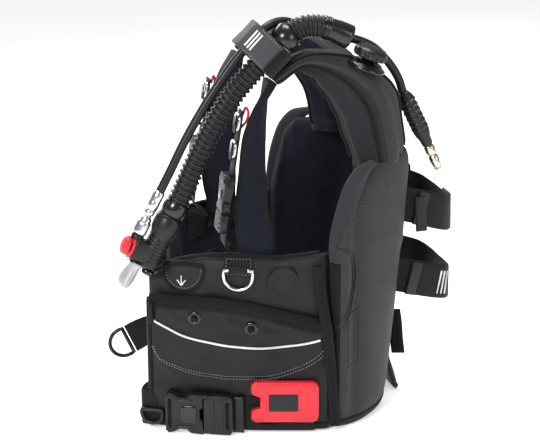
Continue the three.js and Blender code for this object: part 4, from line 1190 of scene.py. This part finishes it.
def back():
    """Pad, plate with its cylinder rest and slots, handle, skirt and collar yoke."""
    def pad_relief(x, z):
        channel = -3 * math.exp(-((abs(x) - 26) / 4) ** 2) - 3 * math.exp(-(((z + 20) % 70 - 35) / 4) ** 2)
        return channel + 0.8 * ripple(x / 20, z / 24, 40)

    front = lambda z: plate_rear(z) - 7
    pad = leaning_slab(PLATE_HALF_WIDTH - 4, PLATE_BOTTOM + 10, PLATE_TOP - 4,
                       lambda z: front(z) - GAP - 15, lambda z: front(z) - GAP, pad_relief)
    piece("back_cushion", pad, LINING, nodes=["back_pad"])
    outline = rounded(2 * PLATE_HALF_WIDTH, PLATE_TOP - PLATE_BOTTOM, 14, 6)
    middle = (PLATE_TOP + PLATE_BOTTOM) / 2
    out = Vector((0, 1, -BACK_LEAN)).normalized()
    up = Vector((0, BACK_LEAN, 1)).normalized()
    centre = Vector((0, plate_rear(middle) - 3.5, middle))
    shell = plate(centre, (ACROSS, up, out), outline, 7, 2.2, 0)
    piece("back_shell", shell, PLASTIC, nodes=["backpack_plate"])
    rest_middle = (SADDLE_BOTTOM + PLATE_TOP - 8) / 2
    rest_centre = Vector((0, plate_rear(rest_middle) + SADDLE_RISE / 2 - 0.5, rest_middle))
    rest_outline = rounded(2 * SADDLE_HALF_WIDTH, PLATE_TOP - 8 - SADDLE_BOTTOM, 8)
    rest = plate(rest_centre, (ACROSS, up, out), rest_outline, SADDLE_RISE + 1, 1.2)
    piece("cylinder_rest", rest, RUBBER)
    sides = ((-1, "right"), (1, "left"))
    for edge, word in sides:
        for number, x in enumerate((38, 62)):
            rib = plate(centre + Vector((edge * x, 0, 0)) + out * 3.6,
                        (ACROSS, up, out), rounded(5, 236, 2.4), 2.4, 1, 0.3)
            piece(f"back_rib_{word}_{number}", rib, PLASTIC)
    for level, z, tall in (("upper", UPPER_BAND, 56), ("middle", 234, 20), ("lower", LOWER_BAND, 56)):
        for edge, word in sides:
            spot = Vector((edge * 46, plate_rear(z) - 0.6, z))
            rim = plate(spot + out * 1.2, (ACROSS, up, out), rounded(9, tall, 4), 2.4, 0.8, -0.4)
            piece(f"{level}_slot_{word}", rim, GLOSS_BLACK)
    handle = spline([(-34, 0, 0), (-30, 9, 3), (-12, 15, 5), (12, 15, 5), (30, 9, 3), (34, 0, 0)], 8)
    line = [Vector((p.x, plate_rear(345) + 1.5 + p.y, 345 + p.z)) for p in handle]
    piece("carry_handle", tube([(p, 5) for p in line], 16), RUBBER)

    top = PLATE_BOTTOM + 26
    skirt_low, skirt_high = (114, 126), (plate_rear(top) + 0.6, plate_rear(top) + 8)
    skirt = leaning_slab(66, 0, top, lambda z: mix(skirt_high[0], skirt_low[0], 1 - z / top),
                         lambda z: mix(skirt_high[1], skirt_low[1], 1 - z / top),
                         lambda x, z: 1.6 * ripple(x / 26, z / 30, 51))
    piece("skirt", skirt, NYLON, nodes=["back_skirt"])
    line = [Vector((x, mix(*skirt_low, 0.5), 4.4)) for x in (-62, -30, 0, 30, 62)]
    piece("skirt_hem", wire(spline(line, 6), 4), BINDING)

    rows = [(42.5, 114, 368.3, 0.5), (41.5, 111, 388, 1), (40, 107, 410, 1), (39, 102, 428, 1),
            (38, 97, 447, 0.5)]
    rings = []
    for half, y, z, close in rows:
        outline = rounded(2 * half, 14 * close, 6 * close, 6)
        rings.append([Vector((x, y - 7 + d + (1.5 * ripple(x / 18, z / 20, 60) if d < 0 else 0), z))
                      for x, d in outline])
    piece("yoke", loft(rings), LINING, nodes=["collar_yoke"])


def band_line(height):
    """Loop of a tank band round the cylinder's place, sagging to the rear."""
    base = plate_rear(height + WEB_WIDTH / 2) + GAP + 0.6
    half = BAND_HALF_WIDTH
    return [(-half, base, height), (-half + 1, base + 35, height - BAND_DROOP * 0.3),
            (-half + 14, BAND_REACH - 12, height - BAND_DROOP * 0.8), (0, BAND_REACH, height - BAND_DROOP),
            (half - 14, BAND_REACH - 12, height - BAND_DROOP * 0.8),
            (half - 1, base + 35, height - BAND_DROOP * 0.3), (half, base, height)]


def tank_band(level, height):
    """Cylinder band with its loop field, tail and tip, and its buckle."""
    stations = [(Vector(p), UP, WEB_WIDTH) for p in band_line(height)]
    piece(f"{level}_band", strap(stations, WEB_THICKNESS, 3), WEBBING,
          nodes=[f"{level}_tank_band"])
    path = Path(spline(band_line(height), 16))

    def over(name, span, width, lift, look, thickness=1.6, shift=0.0):
        rows = []
        for i in range(9):
            d = path.length * mix(*span, i / 8)
            run = path.run(d)
            out = Vector((-run.y, run.x, 0)).normalized()
            out = -out if out.dot(path.at(d) - Vector((0, 150, height))) < 0 else out
            rows.append((path.at(d) + out * lift + Vector((0, 0, shift)), UP, width))
        return piece(name, strap(rows, thickness, 3), look)

    over(f"{level}_band_loop_field", (0.12, 0.62), WEB_WIDTH - 6, 2.4, LOOP)
    over(f"{level}_band_tail", (0.55, 0.86), WEB_WIDTH - 2, 2.6, WEBBING, 2.2, -1.5)
    over(f"{level}_band_tip", (0.85, 0.9), WEB_WIDTH - 1, 2.9, RUBBER, 3.0, -1.5)
    if level == "upper":
        over("band_pull_sleeve", (0.5, 0.64), WEB_WIDTH + 3, 3.6, SLEEVE, 3.2)
    else:
        for number, share in enumerate((0.7, 0.72, 0.74)):
            over(f"band_bar_{number}", (share, share + 0.008), WEB_WIDTH - 16, 4.4, WHITE, 0.6, -1.5)
    cam_buckle(level, height)


def loose_ends():
    """Tail of the lower webbing behind the skirt, and the pull tab of the upper band."""
    tail = [(Vector((50, y, z)), Vector((0.5, 0.85, 0)), 20) for y, z in
            ((119, 118), (122, 98), (124, 74), (127, 50))]
    piece("webbing_tail", strap(tail), WEBBING)
    tab = [(Vector((x, y, z)), Vector((0, 1, 0)), 17) for x, y, z in
           ((BAND_HALF_WIDTH + 2.6, 148, 292), (BAND_HALF_WIDTH + 4, 149, 268),
            (BAND_HALF_WIDTH + 5, 150, 242))]
    piece("band_pull_tab", strap(tab, 3), EDGE_CLOTH)


def cam_buckle(level, height):
    base = plate_rear(height + WEB_WIDTH / 2) + GAP + 0.6
    origin = Vector((-BAND_HALF_WIDTH - WEB_THICKNESS / 2 - 0.6, base + 40, height - BAND_DROOP * 0.4))
    out, run, up = Vector((-1, 0, 0)), Vector((0, 1, 0)), UP
    floor = plate(origin + out * 2, (run, up, out), rounded(58, 56, 6), 4, 1, 0)
    piece(f"{level}_cam_floor", floor, PLASTIC, nodes=[f"{level}_band_buckle"])
    ear = [(-10, -4), (8, -4), (10, 0), (6, 7), (0, 10), (-7, 8), (-10, 2)]
    for edge, word in LEVELS:
        mesh = plate(origin + out * 8 - run * 16 + up * (edge * 26.5), (run, out, up), ear, 3, 0.7, 0)
        piece(f"{level}_cam_ear_{word}", mesh, PLASTIC)
    lever = f"{level}_cam_lever"
    grip = [(22, 18), (18, 23), (-20, 23), (-20, -23), (18, -23), (22, -18)]
    mesh = plate(origin + out * 8.5 + run * 4, (run, up, out), grip, 4.5, 1.2, 0.6)
    piece(f"{level}_cam_grip", mesh, PLASTIC, lever, [lever])
    barrel = lathe(origin + out * 8.8 - run * 16 - up * 24.6, up,
                   [(3.4, 0), (4.2, 0.8), (4.2, 48.4), (3.4, 49.2)], 32)
    piece(f"{level}_cam_barrel", barrel, STEEL, lever)
    for row in range(4):
        rib = plate(origin + out * 11 + run * (2 + 5 * row), (run, up, out), rounded(2.4, 36, 1), 1.4, 0.4)
        piece(f"{level}_cam_rib_{row}", rib, GLOSS_BLACK, lever)


# ---- hoses and shoulder valve -------------------------------------------------------------------
LP_ROUTE = [
    (110, -241.6, 313), (110, -232, 331), (110, -215, 363), (108, -190, 410), (105, -152, 469),
    (102, -114.1, 516.9), (99, -82.3, 547.3), (84, -54, 553), (77, -26, 544), (74, 6, 533),
    (70, 42, 524), (66, 76, 510), (62, 102, 485), (60.5, 117, 462), (60, 124.2, 441.8),
]
BOOT = (Vector((60, 124.6, 440.9)), Vector((60, 163, 363)))
FITTING = (Vector((60, 163.15, 362.7)), Vector((60, 179, 328)))
AIRWAY = [(HOSE_X, y, z) for y, z in ((-213.75, 303.9), (-201, 328), (-182, 369), (-157, 418), (-123, 469),
                                      (-80.2, 513.3), (-64, 528))]


def ribbed(line, crest, root, pitch):
    """Bellows hose: rounded ribs at a pitch along a line."""
    path = Path(line)
    count = 6 * max(2, round(path.length / pitch))
    stations = []
    for i in range(count + 1):
        swell = 0.5 + 0.5 * math.cos(2 * math.pi * i / 6)
        stations.append((path.at(path.length * i / count), mix(root, crest, swell ** 0.8)))
    return tube(stations, 32)


def low_pressure_hose():
    line = spline(LP_ROUTE, 10)
    hose = piece("pressure_hose", tube([(p, LP_RADIUS) for p in line], 20), RUBBER,
                 nodes=["lp_hose"])
    path = Path(line)
    boot = hose_boot()
    fitting = first_stage_fitting()
    crimp = crimped_end(path)


def crimped_end(path):
    profile = ((0.5, 6.2), (1, 7.6), (12, 7.8), (14, 7.2), (16, 7.7), (26, 7.8), (28, 6.3))
    return piece("crimp", tube([(path.at(d), r) for d, r in profile], 28), STEEL)


def hose_boot():
    start, end = BOOT
    down = (end - start).normalized()
    length = (end - start).length
    profile = [(0, 6.4), (0.03, 8), (0.1, 11), (0.4, 11.8), (0.7, 12), (0.8, 10.6), (0.86, 8.6), (0.97, 8),
               (1, 6.6)]
    body = piece("boot", lathe(start, down, [(r, length * t) for t, r in profile], 40), RUBBER,
                 nodes=["hose_boot"])
    rings = []
    for row in range(6):
        height = length * (0.16 + 0.1 * row)
        band = lathe(start + down * height, down,
                     [(10.4, -1.6), (12.3, -1.2), (12.6, 0), (12.3, 1.2), (10.4, 1.6)], 36)
        rings.append(piece(f"boot_ring_{row}", band, GLOSS_BLACK))
    return [body, *rings]


def first_stage_fitting():
    start, end = FITTING
    down = (end - start).normalized()
    length = (end - start).length
    hexagon = lambda i, a: 1.0 if i in (0, 1, 6, 7, 8, 9) else 1 - 0.07 * (0.5 + 0.5 * math.cos(6 * a))
    profile = [(5.4, 0), (6.4, 1), (7.5, 3), (7.5, 13), (6.2, 14.5), (5, 16), (5, 17), (6.6, 18),
               (6.6, 27), (5.6, length)]
    body = lathe(start, down, profile, 48, hexagon)
    made = [piece("fitting", body, BRASS, nodes=["first_stage_fitting"])]
    for k in range(3):
        mesh = lathe(start + down * (20 + 2 * k), down, [(6.4, -0.7), (7.2, 0), (6.4, 0.7)], 32)
        made.append(piece(f"fitting_thread_{k}", mesh, STEEL))
    return made


def inflation_hose():
    """Corrugated hose with its cuffs, and the elbow on the shoulder."""
    line = spline(AIRWAY, 16)
    piece("bellows", ribbed(line, HOSE_RADIUS, HOSE_RADIUS - 3.6, 7.5), RUBBER,
          nodes=["corrugated_hose"])
    path = Path(line)
    for name, (a, b), radius in (("lower_cuff", (0, 20), 17.4),
                                 ("upper_cuff", (path.length - 10, path.length), 17)):
        profile = ((0, 0.86), (0.06, 0.98), (0.5, 1.0), (0.85, 0.96), (1, 0.88))
        rows = [(path.at(mix(a, b, t)), radius * r) for t, r in profile]
        piece(name, tube(rows, 36), GLOSS_BLACK)
    collar = ((-63.6, 528.4, 17), (-62, 530, 19.6), (-50, 540.6, 20), (-48.6, 541.8, 17), (-46, 543.4, 15.2))
    piece("elbow_collar", tube([((HOSE_X, y, z), r) for y, z, r in collar], 36), GLOSS_BLACK)
    bend = ((-47, 543), (-30, 549), (-10, 548.5), (12, 541.5), (31, 532.2))
    curve = Path(spline([(HOSE_X, y, z) for y, z in bend], 12))
    ribs = Path([curve.at(curve.length * 0.02 * k) for k in range(26)])
    piece("elbow_ribs", ribbed([ribs.at(ribs.length * k / 60) for k in range(61)], 16, 12.8, 6), RUBBER,
          nodes=["shoulder_elbow"])
    smooth = [(curve.at(curve.length * (0.5 + 0.5 * k / 10)), 14.2 + 2.6 * ease(k / 10)) for k in range(11)]
    piece("elbow_neck", tube(smooth, 36), GLOSS_BLACK)
    for k in range(3):
        spot = curve.length * (0.54 + 0.035 * k)
        band = [(curve.at(spot + d), r) for d, r in ((-1.4, 14.6), (-0.8, 16.2), (0.8, 16.2), (1.4, 14.6))]
        piece(f"elbow_band_{k}", tube(band, 32), GLOSS_BLACK)


def sleeve():
    """Woven keeper round both hoses, with a stitched edge and three slanted bars."""
    room = 2 * HOSE_RADIUS + 3.3
    centre = Vector((HOSE_X + HOSE_RADIUS + GAP - room / 2, -88.5, 522))
    run = Vector((0, 0.723, 0.69)).normalized()
    side, up = ACROSS, Vector((0, -0.69, 0.723)).normalized()
    outline = rounded(room + 5, 67, 10, 8)
    inside = rounded(room, 62, 8, 8)
    rings = []
    skin = ((-20, 0), (-18.5, 0.7), (-10, 0.4), (0, 0.1), (10, 0.4), (18.5, 0.7), (20, 0))
    for lengthwise, shape, grow in ((-20, inside, 0), *((d, outline, grow) for d, grow in skin),
                                    (20, inside, 0), (0, inside, 0), (-20, inside, 0)):
        ring = []
        for x, y in shape:
            p = Vector((x, y)) * (1 + grow / 30)
            ring.append(centre + run * lengthwise + side * p.x + up * p.y)
        rings.append(ring)
    piece("keeper", loft(rings, caps=False), SLEEVE, nodes=["hose_sleeve"])
    face = centre + side * (room / 2 + 3.1)
    for number in range(3):
        tall = plate(face + up * (18 + 4.6 * number), (run, up, side),
                     [(-13, -1.7), (13, -0.6), (13, 1.7), (-13, 0.6)], 0.8, 0.3)
        piece(f"keeper_bar_{number}", tall, WHITE)
    rows = [([face + run * end + up * y for y in range(-24, 25, 4)], side) for end in (-17.5, 17.5)]
    dashes("keeper_stitching", rows, PALE_THREAD)
    flap = [(centre + side * x + up * y, run, 39) for x, y in
            ((room / 2 + 3.4, -14), (room / 2 + 3.6, -24), (room / 2 - 3, -33.4), (0, -34.2), (-12, -34.2))]
    piece("keeper_flap", strap(flap, 1.4), LOOP)


INFLATOR_TILT = -0.4887
VALVE = Vector((108, 55, 489))
VALVE_AXIS = Vector((0.1, 0.33, 0.94)).normalized()


def shoulder_valve():
    """Round valve: its rim, and a domed cap with vents, set from the cap's place in the frame."""
    flange = [(27, 0), (27.2, 1.4), (26.8, 3), (24.5, 4.6), (21.5, 6.4), (20, 8.8), (18, 9.4), (10, 9.4),
              (10, 17.4)]
    rim = lathe(VALVE, VALVE_AXIS, flange, 64)
    piece("valve_rim", rim, GLOSS_BLACK, nodes=["valve_flange"])
    low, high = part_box("valve_cap")
    middle = (low / MM + high / MM) / 2 - Vector((0, FRONT_SHIFT, 0))
    reach = (middle - VALVE).dot(VALVE_AXIS)
    thick = 17
    base = VALVE + VALVE_AXIS * (reach - thick / 2)
    vents = lambda i, a: 1 - (0.07 if i in (3, 4) and math.cos(16 * a) > 0.1 else 0)
    cap = [(17, 0), (21.5, 0.6), (23.4, 2.6), (23.6, 4), (23.6, 8), (23.2, 9.4), (20.6, 12.4), (16, 14.8),
           (9, 16.4), (0.1, 17)]
    piece("valve_dome", lathe(base, VALVE_AXIS, cap, 96, vents), PLASTIC, nodes=["valve_cap"])
    x = VALVE_AXIS.orthogonal().normalized()
    y = VALVE_AXIS.cross(x)
    for k, angle in enumerate(turns(10)):
        out = x * math.cos(angle) + y * math.sin(angle)
        spot = base + VALVE_AXIS * 14.2 + out * 15
        slot = plate(spot, (out, VALVE_AXIS.cross(out), VALVE_AXIS + out * 0.35),
                     rounded(8, 2.4, 1.1), 1.4, 0.4, -0.2)
        piece(f"dome_slot_{k}", slot, GLOSS_BLACK)


# ---- inflator -----------------------------------------------------------------------------------
def inflator():
    """Power inflator: body, buttons, mouthpiece and quick-disconnect."""
    tilt = Matrix.Rotation(INFLATOR_TILT, 4, "X")
    origin = Vector((HOSE_X, -236, 262))
    x, y, z = (tilt @ Vector(a) for a in ((1, 0, 0), (0, 1, 0), (0, 0, 1)))

    def at(px, py, pz):
        return origin + x * px + y * py + z * pz

    # body with moulded ribs and a conical cuff for the hose
    profile = [(14, -30), (15.4, -29.4), (16, -27), (16, -24)]
    for k in range(7):
        profile += [(16, -21 + 5 * k), (16, -19.6 + 5 * k), (15.1, -19 + 5 * k), (15.1, -17.2 + 5 * k),
                    (16, -16.6 + 5 * k)]
    profile += [(16, 18), (18.6, 24), (19.2, 30), (19, 40), (17.4, 46), (14, 47)]
    piece("inflator_shell", lathe(at(0, 0, 0), z, profile, 64), PLASTIC,
          nodes=["inflator_body"])
    block = plate(at(0, -16, -13), (x, z, -y), rounded(28, 30, 7), 27, 2.2, 1.0)
    piece("inflator_head", block, PLASTIC)
    collar = lathe(at(0, -28.6, -14), -y,
                   [(12.6, 0), (15, 0.4), (15.4, 2), (14.4, 3.6), (12.9, 4), (12.9, 2)], 48)
    piece("inflator_ring", collar, RED)
    boss = lathe(at(0, -29, -1), z, [(8, 0), (8.6, 1), (8.6, 6), (7.6, 7)], 36)
    piece("inlet_boss", boss, PLASTIC)
    knurl = lambda i, a: 1 + (0.025 * math.cos(28 * a) if i in (2, 3, 4) else 0)
    cap_profile = [(4.4, 0.2), (4.4, 12), (11.4, 12.2), (12.4, 13.4), (12.4, 18), (11.6, 20.4), (9, 21.6),
                   (4, 21.9), (0.1, 21.5)]
    cap = lathe(at(0, -30 + 8.4, -14), -y, cap_profile, 56, knurl)
    piece("inflate_cap", cap, RED, "inflate_button", ["inflate_button"])
    key = lathe(at(0, 6, -24.5), -z,
                [(4.4, 0.2), (4.4, 9), (8.4, 9.2), (9, 10), (9, 14), (8, 15.6), (5, 15.9), (0.1, 15.4)], 40)
    piece("deflate_key", key, GLOSS_BLACK, "deflate_button", ["deflate_button"])

    # oval mouthpiece with a lip and a bite tip
    lips = [(-30.4, -9, 13, 9), (-33, -9.6, 14.6, 9.6), (-36, -10.2, 12.6, 8.2), (-44, -11.6, 14, 8.8),
            (-52, -12.5, 16.4, 9.6), (-58, -13.4, 18, 9.4), (-62, -14, 18.3, 8.4), (-65, -14, 17.4, 7),
            (-66, -14, 15.4, 5.4)]
    rings = [[at(a * math.cos(t), py + b * math.sin(t) - 4, pz)
              for t in turns(40)] for pz, py, a, b in lips]
    rings += [[at(a * math.cos(t), -17.5 + b * math.sin(t), pz)
               for t in turns(40)] for pz, a, b in ((-66, 9.6, 4.4), (-64, 9.0, 4.0), (-52, 8.6, 3.8))]
    piece("mouth_oval", loft(rings), PALE, nodes=["mouthpiece"])
    neck = lathe(at(0, -14.4, -30), -z, [(9, -1.6), (10.2, -1), (10.8, 0.6), (10.2, 2)], 40)
    piece("mouth_neck", neck, GLOSS_BLACK)

    # quick-disconnect: plated nipple, knurled sliding collar
    inlet = at(0, -29, 6.3)
    nipple = lathe(inlet, z, [(4.8, 0), (5, 1), (5, 29), (6.6, 30), (7, 31.4), (7, 35), (6.4, 36)], 40)
    piece("coupling_nipple", nipple, STEEL, nodes=["inlet_nipple"])
    grip = lambda i, a: 1 + (0.03 * math.cos(24 * a) if 2 <= i <= 5 else 0)
    collar = lathe(at(0, -29, 7), z,
                   [(5.3, 0), (8.2, 0), (9, 0.8), (9, 6), (9, 12), (9, 17), (8.2, 18), (7.5, 20), (7.5, 23),
                    (6.8, 24), (5.3, 24)], 72, grip)
    piece("coupling_collar", collar, STEEL, "disconnect_collar", ["disconnect_collar"])


# ---- room and camera ----------------------------------------------------------------------------
def camera():
    azimuth, elevation, distance = math.radians(75), math.radians(16), 2.4
    aim = Vector((0, 0.041, 0.29))
    back_away = Vector((math.sin(azimuth) * math.cos(elevation), -math.cos(azimuth) * math.cos(elevation),
                        math.sin(elevation)))
    data = bpy.data.cameras.new("camera")
    data.lens = 112
    data.sensor_width = 36
    data.shift_x = -0.065
    data.shift_y = -0.0537
    thing = bpy.data.objects.new("camera", data)
    thing.location = aim + back_away * distance
    thing.rotation_mode = "QUATERNION"
    thing.rotation_quaternion = (-back_away).to_track_quat("-Z", "Y")
    bpy.context.scene.collection.objects.link(thing)
    bpy.context.scene.camera = thing


def room():
    wide = 6
    floor = bpy.data.meshes.new("floor")
    floor.from_pydata([(-wide, -wide, 0), (wide, -wide, 0), (wide, wide, 0), (-wide, wide, 0)], [],
                      [(0, 1, 2, 3)])
    look = Look("pale floor", (0.9, 0.9, 0.9), 0.8)
    look.tint(look.noise(3, 3), 0.99, 1.0)
    look.shader.inputs["Emission Color"].default_value = (1, 1, 1, 1)
    look.shader.inputs["Emission Strength"].default_value = 0.5
    floor.materials.append(look.material)
    thing = bpy.data.objects.new("floor", floor)
    bpy.context.scene.collection.objects.link(thing)
    world = bpy.data.worlds.new("world")
    bpy.context.scene.world = world
    world.use_nodes = True
    background = world.node_tree.nodes["Background"]
    background.inputs["Color"].default_value = (0.93, 0.94, 0.95, 1)
    background.inputs["Strength"].default_value = 0.34

    def lamp(name, place, power, size):
        data = bpy.data.lights.new(name, "AREA")
        data.energy = power
        data.size = size
        light = bpy.data.objects.new(name, data)
        light.location = place
        light.rotation_mode = "QUATERNION"
        light.rotation_quaternion = (Vector((0, 0, 0.3)) - Vector(place)).to_track_quat("-Z", "Y")
        bpy.context.scene.collection.objects.link(light)

    lamp("key", (1.8, -1.6, 1.7), 52, 0.7)
    lamp("fill", (2.0, 1.6, 1.2), 15, 1.2)
    lamp("top", (-0.3, 0.2, 2.4), 44, 1.2)
    lamp("back", (-1.8, -0.6, 1.3), 24, 1.2)


camera()
room()
bpy.context.scene.view_settings.view_transform = "Standard"
low_pressure_hose()
for half, plan in (("left", left_plan), ("right", right_plan)):
    half_vest(half, plan)
left_belt(left_plan)
right_belt(right_plan)
back()
tank_band("upper", UPPER_BAND)
tank_band("lower", LOWER_BAND)
loose_ends()
inflation_hose()
sleeve()
shoulder_valve()
inflator()
